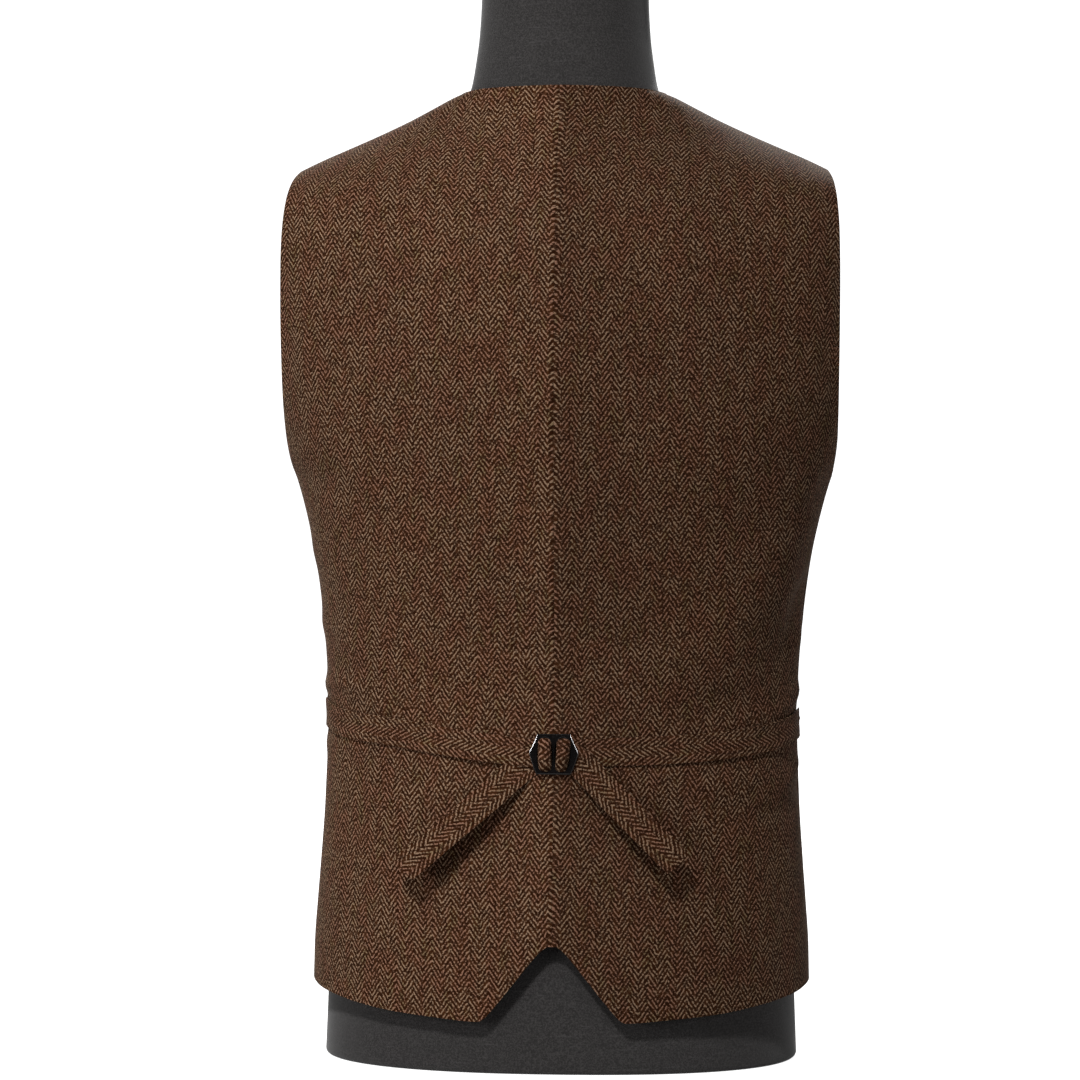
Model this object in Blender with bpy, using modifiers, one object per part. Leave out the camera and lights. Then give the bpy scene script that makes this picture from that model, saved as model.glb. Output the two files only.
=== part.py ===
"""Suit waistcoat in brown herringbone cloth, worn on a limbless dress form.

+X is the wearer's right, -Y the wearer's back, +Z up. The origin is the centre of
the form's flat base. Each panel is an open sheet laid on the garment's sections and
given its thickness outwards. Metres.
"""

import math

import bmesh
import bpy
import numpy as np
from mathutils import Matrix, Vector

MM = 0.001

# Cloth
CLOTH = 2.0 * MM
SEAM_GAP = 0.3 * MM
BACK = -1
FRONT = 1
LEFT = -1
RIGHT = 1

# Panel levels and corners
NAPE_HEIGHT = 668.0 * MM
NECK_HALF_WIDTH = 71.5 * MM
SHOULDER_REACH = 182.4 * MM
ARMHOLE_BOTTOM = 407.0 * MM
SIDE_HEM = 52.0 * MM
V_BREAK = 430.0 * MM
FRONT_POINT = 8.0 * MM
CUTAWAY_TOP = 140.0 * MM

# Closing
LAP = 13.0 * MM
LAP_RISE = 2.6 * MM
LAP_RAMP = (-45.0 * MM, -15.0 * MM)
LAP_FADE = (480.0 * MM, 535.0 * MM)
BUTTON_HEIGHTS = (415.0, 352.5, 290.0, 227.5, 165.0)
BUTTON_RADIUS = 7.5 * MM
BUTTON_THICKNESS = 2.6 * MM
BUTTON_RIM = 0.9 * MM
BUTTON_STAND = 0.45 * MM

# Half belts and buckle
STRAP_WIDTH = 19.0 * MM
STRAP_CLOTH = 1.2 * MM
STRAP_SEAT = 0.3 * MM
BUCKLE_HEIGHT = 213.3 * MM
BUCKLE_LIFT = 6.8 * MM
BUCKLE_THICKNESS = 1.6 * MM
BUCKLE_EDGE = 0.4 * MM

# Form
NECK_TOP = 752.0 * MM
ARM_PLATE = 184.0 * MM
ARM_PLATE_ROUNDING = 4.0 * MM
FORM_EDGE = 3.0 * MM
FORM_SEGMENTS = 42
FORM_LEVELS = (
    0, 3, 40, 80, 120, 160, 200, 240, 280, 320, 360, 400, 440, 475, 510, 540, 562,
    580, 592, 601, 608, 615, 622, 629, 636, 643, 650, 656, 661, 665, 670, 677, 690,
    710, 730, 749, 752,
)

# The garment's inside, one row a level:
# height, half width, back face y, front face y, side line y, squareness
GARMENT_SECTIONS = (
    (0.0, 173.7, -121.0, 120.0, 0.0, 2.30),
    (51.0, 171.4, -120.0, 119.0, 0.0, 2.30),
    (79.0, 170.7, -118.5, 117.5, 0.0, 2.30),
    (107.0, 168.8, -115.5, 116.0, 0.0, 2.30),
    (135.0, 166.7, -111.5, 114.0, 0.0, 2.30),
    (177.0, 164.0, -105.0, 110.5, 0.0, 2.30),
    (240.0, 162.2, -98.0, 107.5, 0.0, 2.30),
    (289.0, 164.4, -101.0, 110.0, 0.0, 2.32),
    (317.0, 167.3, -105.5, 113.5, 0.0, 2.34),
    (345.0, 171.2, -110.5, 118.0, 0.0, 2.36),
    (373.0, 176.9, -115.0, 122.5, 0.0, 2.38),
    (401.0, 184.6, -119.0, 126.5, 0.0, 2.40),
    (415.0, 190.0, -120.5, 128.0, 0.0, 2.42),
    (430.0, 194.0, -121.8, 129.0, 0.0, 2.44),
    (460.0, 202.0, -123.5, 130.0, 0.0, 2.45),
    (500.0, 209.5, -122.5, 127.0, 0.0, 2.45),
    (540.0, 215.0, -118.0, 118.0, -1.0, 2.40),
    (565.0, 219.5, -112.0, 108.0, -2.0, 2.30),
    (580.0, 219.0, -106.5, 99.0, -3.0, 2.20),
    (592.0, 214.5, -101.5, 90.5, -3.5, 2.10),
    (600.0, 207.5, -97.5, 84.0, -4.0, 2.00),
    (607.8, 196.0, -93.5, 78.0, -4.5, 1.90),
    (614.8, 183.0, -89.5, 73.0, -5.0, 1.82),
    (621.8, 168.7, -85.5, 68.0, -5.0, 1.75),
    (628.8, 152.6, -81.0, 64.0, -5.5, 1.70),
    (635.8, 136.5, -77.0, 60.0, -5.5, 1.68),
    (642.8, 120.8, -73.0, 57.0, -6.0, 1.70),
    (649.8, 106.0, -69.5, 54.5, -6.0, 1.75),
    (656.8, 92.4, -67.0, 52.5, -6.0, 1.85),
    (663.8, 78.5, -65.0, 51.5, -6.0, 2.00),
    (666.8, 71.5, -64.5, 51.0, -6.0, 2.10),
    (671.0, 68.5, -64.0, 51.0, -6.0, 2.15),
    (690.0, 66.0, -63.0, 52.0, -5.5, 2.15),
)

# What the form leaves free inside the garment, one row a level: height, at the sides, front and back
FORM_EASE = (
    (0.0, 9.0, 8.0),
    (120.0, 8.0, 6.0),
    (240.0, 7.5, 5.0),
    (400.0, 9.0, 5.0),
    (460.0, 14.0, 5.0),
    (510.0, 10.0, 4.5),
    (550.0, 6.0, 3.5),
    (580.0, 3.6, 2.6),
    (600.0, 2.8, 1.8),
    (640.0, 2.8, 1.8),
    (667.0, 3.6, 2.6),
)

# The form's neck, one row a level, as the garment's sections
NECK_SECTIONS = (
    (667.0, 67.3, -61.9, 48.4, -6.0, 2.10),
    (677.0, 64.6, -60.4, 50.0, -5.0, 2.10),
    (690.0, 62.5, -59.5, 51.0, -4.0, 2.05),
    (710.0, 60.0, -57.5, 52.0, -3.0, 2.00),
    (730.0, 58.8, -56.5, 53.0, -2.0, 2.00),
    (752.0, 58.2, -55.5, 54.0, -1.0, 2.00),
)

# Back panel edges: distance out from the centre back, height
BACK_NECKLINE = ((0.0, 668.0), (30.0, 668.0), (50.0, 667.8), (66.0, 667.2), (71.5, 666.8))
BACK_HEM = (
    (0.0, 86.7), (3.0, 86.2), (7.0, 83.5), (11.6, 78.7), (22.3, 65.4), (32.9, 52.1),
    (43.6, 39.4), (46.5, 36.8), (49.0, 36.0), (79.0, 38.0), (110.0, 40.6),
    (139.0, 44.8), (160.0, 49.0), (167.0, 51.5), (172.0, 54.0),
)
# Armhole edges: height, distance out
BACK_ARMHOLE = (
    (407.0, 186.3), (408.5, 186.3), (413.0, 186.9), (420.0, 187.8), (430.0, 188.7),
    (457.0, 189.3), (499.0, 189.7), (541.0, 189.8), (569.0, 189.5), (590.0, 188.3),
    (604.0, 186.4), (615.2, 182.4),
)
FRONT_ARMHOLE = (
    (407.0, 186.3), (409.0, 186.6), (413.0, 186.6), (420.0, 186.2), (432.0, 185.0),
    (455.0, 182.0), (485.0, 177.0), (520.0, 171.5), (555.0, 167.5), (585.0, 170.5),
    (604.0, 176.5), (615.2, 182.4),
)
# Front panel's inner edge: height, distance past the centre front towards its own side
FRONT_EDGE = (
    (8.0, 50.0), (14.0, 45.0), (35.0, 28.5), (60.0, 12.0), (90.0, -2.0), (118.0, -10.8),
    (140.0, -13.0), (422.0, -13.0), (436.0, -11.5), (450.0, -7.0), (520.0, 18.5),
    (590.0, 44.0), (640.0, 62.5), (666.8, 71.5),
)
FRONT_HEM = ((50.0, 8.0), (58.0, 9.5), (90.0, 20.0), (125.0, 34.0), (155.0, 47.0), (172.0, 54.0))

BACK_COLUMNS = (
    0, 0.03, 0.08, 0.14, 0.2085, 0.26, 0.32, 0.356, 0.374, 0.3828, 0.45, 0.53, 0.61, 0.69,
    0.77, 0.85, 0.92, 0.965, 1,
)
FRONT_COLUMNS = (0, 0.04, 0.11, 0.18, 0.26, 0.35, 0.44, 0.53, 0.62, 0.71, 0.80, 0.88, 0.95, 1)
ROWS_BELOW_ARMHOLE = 13
ROWS_ABOVE_ARMHOLE = (
    0.015, 0.05, 0.11, 0.22, 0.35, 0.49, 0.61, 0.71, 0.79, 0.855, 0.905, 0.943, 0.969, 0.986, 0.995, 1,
)

# Half belts, one row a fold: across from the centre back, height, tilt in degrees, lift
STRAP_RIGHT = (
    (400.0, 235.0, 0.0, 3.0), (196.0, 231.0, -8.0, 3.0), (178.0, 227.6, -9.0, 3.0),
    (160.0, 224.8, -8.0, 3.0), (142.0, 222.4, -6.0, 3.0), (124.0, 220.3, -4.0, 3.0),
    (106.0, 218.6, -3.0, 3.0), (88.0, 217.4, -2.0, 3.0), (70.0, 216.6, -1.0, 3.0),
    (52.0, 216.0, -1.0, 3.0), (34.0, 215.2, 0.0, 3.0), (20.0, 214.5, 2.0, 2.95),
    (13.0, 214.0, 5.0, 2.95), (9.0, 213.7, 9.0, 3.1), (7.0, 213.4, 13.0, 3.9),
    (9.0, 212.9, 19.0, 4.65), (14.0, 210.2, 30.0, 4.7), (20.0, 204.8, 39.0, 4.7),
    (30.0, 194.4, 44.0, 4.9), (43.0, 180.4, 43.0, 6.8), (57.0, 165.0, 42.0, 9.2),
    (69.0, 152.0, 42.0, 11.6), (79.5, 140.8, 42.0, 14.0),
)
STRAP_LEFT = (
    (400.0, 240.2, 0.0, 3.0), (196.0, 237.6, -9.0, 3.0), (178.0, 234.8, -10.0, 3.0),
    (160.0, 231.8, -11.0, 3.0), (142.0, 229.8, -11.0, 3.0), (124.0, 228.2, -10.0, 3.0),
    (106.0, 226.2, -10.0, 3.0), (88.0, 223.6, -9.0, 3.1), (70.0, 221.0, -9.0, 3.6),
    (56.0, 219.0, -8.0, 4.3), (42.0, 217.2, -7.0, 4.7), (26.0, 215.4, -4.0, 4.7),
    (14.0, 214.4, 0.0, 4.7), (9.0, 214.0, 5.0, 4.65), (7.0, 213.6, 10.0, 3.9),
    (9.0, 213.0, 17.0, 3.1), (14.0, 210.6, 30.0, 2.95), (20.0, 205.6, 40.0, 2.95),
    (30.0, 196.4, 45.0, 3.1), (44.0, 182.6, 46.0, 5.0), (58.0, 168.8, 45.0, 8.0),
    (72.0, 155.4, 44.0, 11.2), (84.0, 144.2, 43.5, 13.6), (94.5, 134.6, 43.0, 15.6),
)

# Buckle outline in its own plane, right half: out, up
BUCKLE_OUTLINE = (
    (0.0, 13.8), (10.4, 13.8), (11.4, 12.8), (13.6, 7.6), (16.2, 2.0), (16.5, 0.8),
    (16.2, -0.8), (14.2, -7.0), (12.0, -12.4), (10.8, -13.4), (0.0, -13.4),
)
BUCKLE_WINDOW_CENTRE = 5.95 * MM
BUCKLE_WINDOW_HALF = (4.75 * MM, 10.4 * MM)
BUCKLE_WINDOW_STEPS = 20

HERRINGBONE = {"color": (0.085, 0.052, 0.033), "roughness": 0.9, "metallic": 0.0}
FORM_COVER = {"color": (0.035, 0.032, 0.031), "roughness": 0.92, "metallic": 0.0}
BLACK_METAL = {"color": (0.02, 0.02, 0.022), "roughness": 0.3, "metallic": 1.0}
HORN = {"color": (0.07, 0.035, 0.018), "roughness": 0.35, "metallic": 0.0}


def start_scene():
    for obj in list(bpy.data.objects):
        bpy.data.objects.remove(obj, do_unlink=True)
    waistcoat = bpy.data.collections.new("suit_waistcoat")
    bpy.context.scene.collection.children.link(waistcoat)
    return waistcoat


def material(name, look):
    made = bpy.data.materials.new(name)
    made.use_nodes = True
    shader = made.node_tree.nodes["Principled BSDF"]
    shader.inputs["Base Color"].default_value = (*look["color"], 1.0)
    shader.inputs["Roughness"].default_value = look["roughness"]
    shader.inputs["Metallic"].default_value = look["metallic"]
    made.diffuse_color = (*look["color"], 1.0)
    return made


def between(low, high, value):
    """0 below low, 1 above high, eased between them."""
    part = min(max((value - low) / (high - low), 0.0), 1.0)
    return part * part * (3.0 - 2.0 * part)


def mix(first, last, part):
    return first + (last - first) * part


class Profile:
    """Rows of named sizes in millimetres, read in metres at any level, with no overshoot."""

    def __init__(self, rows, lengths=None):
        table = np.array(rows, dtype=float)
        if lengths is None:
            lengths = table.shape[1]
        table[:, :lengths] *= MM
        self.level = table[:, 0]
        self.values = table[:, 1:]
        slope = np.diff(self.values, axis=0) / np.diff(self.level)[:, None]
        before, after = slope[:-1], slope[1:]
        same_way = before * after > 0.0
        total = np.where(same_way, before + after, 1.0)
        inner = np.where(same_way, 2.0 * before * after / total, 0.0)
        self.slope = np.vstack([slope[:1], inner, slope[-1:]])

    def __call__(self, level):
        level = min(max(level, self.level[0]), self.level[-1])
        last = len(self.level) - 2
        row = int(min(max(np.searchsorted(self.level, level) - 1, 0), last))
        span = self.level[row + 1] - self.level[row]
        t = (level - self.level[row]) / span
        start = self.values[row] * (2 * t**3 - 3 * t**2 + 1)
        end = self.values[row + 1] * (3 * t**2 - 2 * t**3)
        leaving = self.slope[row] * span * (t**3 - 2 * t**2 + t)
        reaching = self.slope[row + 1] * span * (t**3 - t**2)
        return start + end + leaving + reaching


garment = Profile(GARMENT_SECTIONS, lengths=5)
ease = Profile(FORM_EASE)
neck = Profile(NECK_SECTIONS, lengths=5)
back_neckline = Profile(BACK_NECKLINE)
back_hem = Profile(BACK_HEM)
back_armhole = Profile(BACK_ARMHOLE)
front_armhole = Profile(FRONT_ARMHOLE)
front_edge = Profile(FRONT_EDGE)
front_hem = Profile(FRONT_HEM)

RIDGE_HEIGHTS = np.linspace(0.600, 0.667, 400)
RIDGE_REACH = np.array([garment(height)[0] for height in RIDGE_HEIGHTS])


def ridge_height(reach):
    """Height of the shoulder line at this distance out from the middle."""
    return float(np.interp(-reach, -RIDGE_REACH, RIDGE_HEIGHTS))


def how_far_out(x, y, height):
    """1 on the garment's section at this height, less inside it."""
    half_width, back, front, side, squareness = garment(height)
    depth = front - side if y > side else side - back
    return (abs(x) / half_width) ** squareness + (abs(y - side) / depth) ** squareness


def outward(x, y, height):
    step = 0.05 * MM
    slopes = (
        how_far_out(x + step, y, height) - how_far_out(x - step, y, height),
        how_far_out(x, y + step, height) - how_far_out(x, y - step, height),
        how_far_out(x, y, height + step) - how_far_out(x, y, height - step),
    )
    return Vector(slopes).normalized()


def section_line(height, side):
    """The back or front half of the section, from one side line to the other, and the
    distance of each point along the cloth from the middle."""
    half_width, back, front, line, squareness = garment(height)
    depth = back - line if side == BACK else front - line
    angles = np.linspace(-math.pi / 2, math.pi / 2, 361)
    power = 2.0 / squareness
    x = half_width * np.sign(np.sin(angles)) * np.abs(np.sin(angles)) ** power
    y = line + depth * np.maximum(np.cos(angles), 0.0) ** power
    steps = np.hypot(np.diff(x), np.diff(y))
    along = np.concatenate([[0.0], np.cumsum(steps)])
    return x, y, along - along[-1] / 2.0


def on_garment(across, height, side, lift):
    """The point this far along the cloth from the middle, moved out by lift."""
    x, y, along = section_line(height, side)
    limit = along[-1] - SEAM_GAP / 2.0
    across = min(max(across, -limit), limit)
    point = Vector((np.interp(across, along, x), np.interp(across, along, y), height))
    if lift:
        point += outward(*point) * lift
    return point


def sheet(name, grid, outward_at_first, collection, look, thickness, offset=1.0):
    """An open sheet through the grid's points, thickened."""
    rows, columns = len(grid), len(grid[0])
    points = [point for row in grid for point in row]
    faces = []
    for r in range(rows - 1):
        for c in range(columns - 1):
            corner = r * columns + c
            faces.append((corner, corner + 1, corner + columns + 1, corner + columns))
    mesh = bpy.data.meshes.new(name)
    mesh.from_pydata(points, [], faces)
    mesh.update()
    if mesh.polygons[0].normal.dot(outward_at_first) < 0.0:
        mesh.flip_normals()
    for polygon in mesh.polygons:
        polygon.use_smooth = True
    obj = bpy.data.objects.new(name, mesh)
    obj.data.materials.append(material(name + "_cloth", look))
    collection.objects.link(obj)
    solidify = obj.modifiers.new("thickness", "SOLIDIFY")
    solidify.thickness = thickness
    solidify.offset = offset
    return obj


def panel_rows():
    armhole = (ARMHOLE_BOTTOM - SIDE_HEM) / (ridge_height(SHOULDER_REACH) - SIDE_HEM)
    below = [armhole * row / ROWS_BELOW_ARMHOLE for row in range(ROWS_BELOW_ARMHOLE + 1)]
    above = [mix(armhole, 1.0, part) for part in ROWS_ABOVE_ARMHOLE]
    return armhole, below + above


def place(inner, outer, part, height, side, straightness):
    """A panel point between its edges: by length of cloth low down, straight across at
    the shoulder."""
    x, y, along = section_line(height, side)
    limit = along[-1] - SEAM_GAP / 2.0
    start = np.interp(inner, x, along)
    end = min(np.interp(outer, x, along), limit)
    by_length = np.interp(mix(start, end, part), along, x)
    chosen = mix(by_length, mix(inner, outer, part), straightness)
    across = min(np.interp(chosen, x, along), limit)
    if straightness == 0.0:
        across = mix(start, end, part)
    return Vector((np.interp(across, along, x), np.interp(across, along, y), height))


def back_point(part, row, armhole):
    hem_line = section_line(SIDE_HEM, BACK)
    hem_reach = np.interp(part * hem_line[2][-1], hem_line[2], hem_line[0])
    bottom = back_hem(hem_reach)[0]
    reach = part * SHOULDER_REACH
    on_shoulder = reach > NECK_HALF_WIDTH - 0.1 * MM
    top = ridge_height(reach) if on_shoulder else back_neckline(reach)[0]
    height = mix(bottom, top, row)
    if row == 1.0 and on_shoulder:
        line = garment(height)[3]
        return Vector((reach, line - SEAM_GAP / 2.0, height))
    outer_height = mix(SIDE_HEM, ridge_height(SHOULDER_REACH), row)
    outer = back_armhole(outer_height)[0] if row > armhole else 1.0
    straightness = between(armhole, 0.86, row)
    return place(SEAM_GAP / 2.0, outer, part, height, BACK, straightness)


def front_point(part, row, armhole):
    top_inner, top_outer = ridge_height(NECK_HALF_WIDTH), ridge_height(SHOULDER_REACH)
    hem_line = section_line(SIDE_HEM, FRONT)
    start = np.interp(front_edge(FRONT_POINT)[0], hem_line[0], hem_line[2])
    hem_reach = np.interp(mix(start, hem_line[2][-1], part), hem_line[2], hem_line[0])
    bottom = front_hem(hem_reach)[0]
    reach = mix(NECK_HALF_WIDTH, SHOULDER_REACH, part)
    top = ridge_height(reach)
    cutaway_row = (CUTAWAY_TOP - SIDE_HEM) / (top_outer - SIDE_HEM)
    edge_height = np.interp(
        row, (0.0, cutaway_row, armhole, 1.0), (FRONT_POINT, CUTAWAY_TOP, V_BREAK, top_inner)
    )
    edge_row = (edge_height - FRONT_POINT) / (top_inner - FRONT_POINT)
    height = mix(bottom, top, mix(edge_row, row, part))
    if row == 1.0:
        line = garment(height)[3]
        return Vector((reach, line + SEAM_GAP / 2.0, height))
    inner = front_edge(edge_height)[0]
    outer_height = mix(SIDE_HEM, top_outer, row)
    outer = front_armhole(outer_height)[0] if row > armhole else 1.0
    straightness = between(armhole, 0.86, row)
    return place(inner, outer, part, height, FRONT, straightness)


def lap_rise(x, height):
    """How far the lapping front stands off the other one."""
    return LAP_RISE * between(*LAP_RAMP, x) * (1.0 - between(*LAP_FADE, height))


def back_panel(name, hand, collection):
    armhole, rows = panel_rows()
    grid = []
    for row in rows:
        line = [back_point(part, row, armhole) for part in BACK_COLUMNS]
        grid.append([Vector((hand * point.x, point.y, point.z)) for point in line])
    return sheet(name, grid, Vector((0, BACK, 0)), collection, HERRINGBONE, CLOTH)


def front_panel(name, hand, collection):
    armhole, rows = panel_rows()
    grid = []
    for row in rows:
        line = [front_point(part, row, armhole) for part in FRONT_COLUMNS]
        if hand == LEFT:
            line = [
                point + outward(*point) * lap_rise(-point.x, point.z) for point in line
            ]
        grid.append([Vector((hand * point.x, point.y, point.z)) for point in line])
    return sheet(name, grid, Vector((0, FRONT, 0)), collection, HERRINGBONE, CLOTH)


def strap(name, hand, folds, collection):
    """A half belt: each row of folds is one line across its width."""
    path = Profile([(row, *fold) for row, fold in enumerate(folds)], lengths=0)
    grid = []
    for step in range(2 * len(folds) - 1):
        across, height, tilt, lift = path(step / 2.0)
        lean = math.radians(tilt)
        line = []
        for part in (0.5, 0.17, -0.17, -0.5):
            reach = across * MM + STRAP_WIDTH * part * math.sin(lean)
            level = height * MM + STRAP_WIDTH * part * math.cos(lean)
            point = on_garment(reach, level, BACK, lift * MM + STRAP_SEAT)
            line.append(Vector((hand * point.x, point.y, point.z)))
        grid.append(line)
    return sheet(name, grid, Vector((0, BACK, 0)), collection, HERRINGBONE, STRAP_CLOTH, 0.0)


def closed_loop(curve, points):
    spline = curve.splines.new("POLY")
    spline.points.add(len(points) - 1)
    for target, (across, up) in zip(spline.points, points):
        target.co = (across, up, 0.0, 1.0)
    spline.use_cyclic_u = True


def buckle(collection):
    """A flat plate with two upright oval windows, set on the centre back."""
    curve = bpy.data.curves.new("buckle", "CURVE")
    curve.dimensions = "2D"
    curve.fill_mode = "BOTH"
    curve.extrude = BUCKLE_THICKNESS / 2.0 - BUCKLE_EDGE
    curve.bevel_depth = BUCKLE_EDGE
    curve.bevel_resolution = 0
    curve.offset = -BUCKLE_EDGE
    right = [(across * MM, up * MM) for across, up in BUCKLE_OUTLINE]
    left = [(-across, up) for across, up in reversed(right[1:-1])]
    closed_loop(curve, right + left)
    for hand in (LEFT, RIGHT):
        window = []
        for step in range(BUCKLE_WINDOW_STEPS):
            turn = 2.0 * math.pi * step / BUCKLE_WINDOW_STEPS
            half_width, half_height = BUCKLE_WINDOW_HALF
            squared = math.copysign(abs(math.sin(turn)) ** 0.7, math.sin(turn))
            across = hand * BUCKLE_WINDOW_CENTRE + half_width * math.cos(turn)
            window.append((across, half_height * squared))
        closed_loop(curve, window)
    obj = bpy.data.objects.new("buckle", curve)
    obj.data.materials.append(material("buckle_metal", BLACK_METAL))
    collection.objects.link(obj)
    seat = on_garment(0.0, BUCKLE_HEIGHT, BACK, 0.0)
    out = outward(*seat)
    across = Vector((1.0, 0.0, 0.0))
    up = out.cross(across).normalized()
    turned = Matrix((across, up, out)).transposed().to_4x4()
    obj.matrix_world = Matrix.Translation(seat + out * BUCKLE_LIFT) @ turned
    return obj


def button(name, height, cloth, collection):
    """A turned disc with a raised rim, on the outside of the lapping front."""
    outline = (
        (0.0, 0.0),
        (BUTTON_RADIUS * 0.8, 0.0),
        (BUTTON_RADIUS, BUTTON_THICKNESS * 0.4),
        (BUTTON_RADIUS, BUTTON_THICKNESS * 0.8),
        (BUTTON_RADIUS - BUTTON_RIM * 0.5, BUTTON_THICKNESS),
        (BUTTON_RADIUS - BUTTON_RIM * 1.6, BUTTON_THICKNESS),
        (BUTTON_RADIUS - BUTTON_RIM * 2.4, BUTTON_THICKNESS * 0.7),
        (0.0, BUTTON_THICKNESS * 0.7),
    )
    mesh = bpy.data.meshes.new(name)
    points = [(out, 0.0, up) for out, up in outline]
    mesh.from_pydata(points, [(i, i + 1) for i in range(len(points) - 1)], [])
    obj = bpy.data.objects.new(name, mesh)
    obj.data.materials.append(material(name + "_horn", HORN))
    collection.objects.link(obj)
    screw = obj.modifiers.new("turned", "SCREW")
    screw.steps = screw.render_steps = 20
    screw.use_merge_vertices = True
    screw.merge_threshold = 0.00001
    screw.use_normal_calculate = True
    screw.use_smooth_shade = True
    worn = cloth.evaluated_get(bpy.context.evaluated_depsgraph_get())
    ahead = Vector((0.0, 1.0, height))
    _, seat, out, _ = worn.ray_cast(ahead, Vector((0.0, -1.0, 0.0)))
    across = Vector((1.0, 0.0, 0.0))
    up = out.cross(across).normalized()
    turned = Matrix((across, up, out)).transposed().to_4x4()
    obj.matrix_world = Matrix.Translation(seat + out * BUTTON_STAND) @ turned
    return obj


def form_section(height):
    """Half width, back y, front y, side line y and squareness of the form."""
    if height > neck.level[0]:
        return neck(height)
    half_width, back, front, side, squareness = garment(height)
    at_side, at_depth = ease(height)
    return np.array([half_width - at_side, back + at_depth, front - at_depth, side, squareness])


def held_in(reach):
    """Sideways reach, eased flat at the arm plate."""
    excess = (ARM_PLATE - abs(reach)) / ARM_PLATE_ROUNDING
    eased = ARM_PLATE - ARM_PLATE_ROUNDING * math.log1p(math.exp(min(excess, 60.0)))
    if excess > 12.0:
        eased = abs(reach)
    return math.copysign(eased, reach)


def form_ring(height, inset):
    half_width, back, front, side, squareness = form_section(height)
    ring = []
    for step in range(FORM_SEGMENTS):
        turn = 2.0 * math.pi * step / FORM_SEGMENTS
        sine, cosine = math.sin(turn), math.cos(turn)
        depth = (front - side if cosine > 0.0 else side - back) - inset
        across = math.copysign(abs(sine) ** (2.0 / squareness), sine)
        along = math.copysign(abs(cosine) ** (2.0 / squareness), cosine)
        x = held_in((half_width - inset) * across)
        ring.append(Vector((x, side + depth * along, height)))
    return ring


def dress_form(collection):
    levels = [level * MM for level in FORM_LEVELS]
    rings = []
    for level in levels:
        inset = FORM_EDGE if level in (levels[0], levels[-1]) else 0.0
        rings.append(form_ring(level, inset))
    body = bmesh.new()
    made = [[body.verts.new(point) for point in ring] for ring in rings]
    for lower, upper in zip(made, made[1:]):
        for step in range(FORM_SEGMENTS):
            after = (step + 1) % FORM_SEGMENTS
            body.faces.new((lower[step], upper[step], upper[after], lower[after]))
    body.faces.new(made[0])
    body.faces.new(list(reversed(made[-1])))
    bmesh.ops.recalc_face_normals(body, faces=body.faces)
    mesh = bpy.data.meshes.new("dress_form")
    body.to_mesh(mesh)
    body.free()
    for polygon in mesh.polygons:
        polygon.use_smooth = len(polygon.vertices) == 4
    obj = bpy.data.objects.new("dress_form", mesh)
    obj.data.materials.append(material("form_cover", FORM_COVER))
    collection.objects.link(obj)
    return obj


def build():
    waistcoat = start_scene()
    dress_form(waistcoat)
    back_panel("back_left", LEFT, waistcoat)
    back_panel("back_right", RIGHT, waistcoat)
    lapping_front = front_panel("front_left", LEFT, waistcoat)
    front_panel("front_right", RIGHT, waistcoat)
    strap("strap_left", LEFT, STRAP_LEFT, waistcoat)
    strap("strap_right", RIGHT, STRAP_RIGHT, waistcoat)
    buckle(waistcoat)
    for number, height in enumerate(BUTTON_HEIGHTS, start=1):
        button(f"button_{number}", height * MM, lapping_front, waistcoat)


build()
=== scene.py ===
"""Looks of the herringbone suit waistcoat on its dress form: cloth, half belts, buckle, buttons, studio.

+X is the wearer's right, -Y the wearer's back, +Z up, metres, as in the CAD part.
"""

import math

import bmesh
import bpy
import numpy as np
from mathutils import Matrix, Vector


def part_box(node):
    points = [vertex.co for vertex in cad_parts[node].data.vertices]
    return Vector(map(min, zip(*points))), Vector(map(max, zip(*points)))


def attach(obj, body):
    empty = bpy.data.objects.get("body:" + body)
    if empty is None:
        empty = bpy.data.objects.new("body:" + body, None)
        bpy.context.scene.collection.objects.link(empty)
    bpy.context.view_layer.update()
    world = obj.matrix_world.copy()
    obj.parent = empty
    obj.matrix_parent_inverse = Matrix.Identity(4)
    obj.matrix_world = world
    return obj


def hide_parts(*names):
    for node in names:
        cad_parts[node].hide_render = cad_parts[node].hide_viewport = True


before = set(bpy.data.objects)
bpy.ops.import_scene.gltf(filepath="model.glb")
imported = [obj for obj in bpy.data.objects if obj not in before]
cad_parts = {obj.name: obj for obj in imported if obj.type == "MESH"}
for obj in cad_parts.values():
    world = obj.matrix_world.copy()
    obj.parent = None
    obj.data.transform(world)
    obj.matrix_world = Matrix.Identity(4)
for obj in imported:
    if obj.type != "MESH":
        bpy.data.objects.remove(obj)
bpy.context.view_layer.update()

MM = 0.001
BACK, FRONT = -1, 1
LEFT, RIGHT = -1, 1

# ---- garment sizes
CLOTH = 2.0 * MM
TURNED_EDGE = 0.55 * MM
SEAM_GAP = 0.3 * MM
NECK_HALF_WIDTH = 71.5 * MM
SHOULDER_REACH = 182.4 * MM
ARMHOLE_BOTTOM = 407.0 * MM
SIDE_HEM = 52.0 * MM
V_BREAK = 430.0 * MM
FRONT_POINT = 8.0 * MM
CUTAWAY_TOP = 140.0 * MM
LAP_RISE = 2.6 * MM
LAP_RAMP = (-45.0 * MM, -15.0 * MM)
LAP_FADE = (480.0 * MM, 535.0 * MM)
# Where each panel's pattern starts: past its middle, up, and the share of each height in the
# flaring stretch by which it moves further past
CUT_SHIFT = {LEFT: (3.2 * MM, 1.9 * MM, 0.020), RIGHT: (7.2 * MM, 0.0, 0.0)}
FLARE_BOTTOM = 115.0 * MM
FLARE_LENGTH = 265.0 * MM

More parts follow.
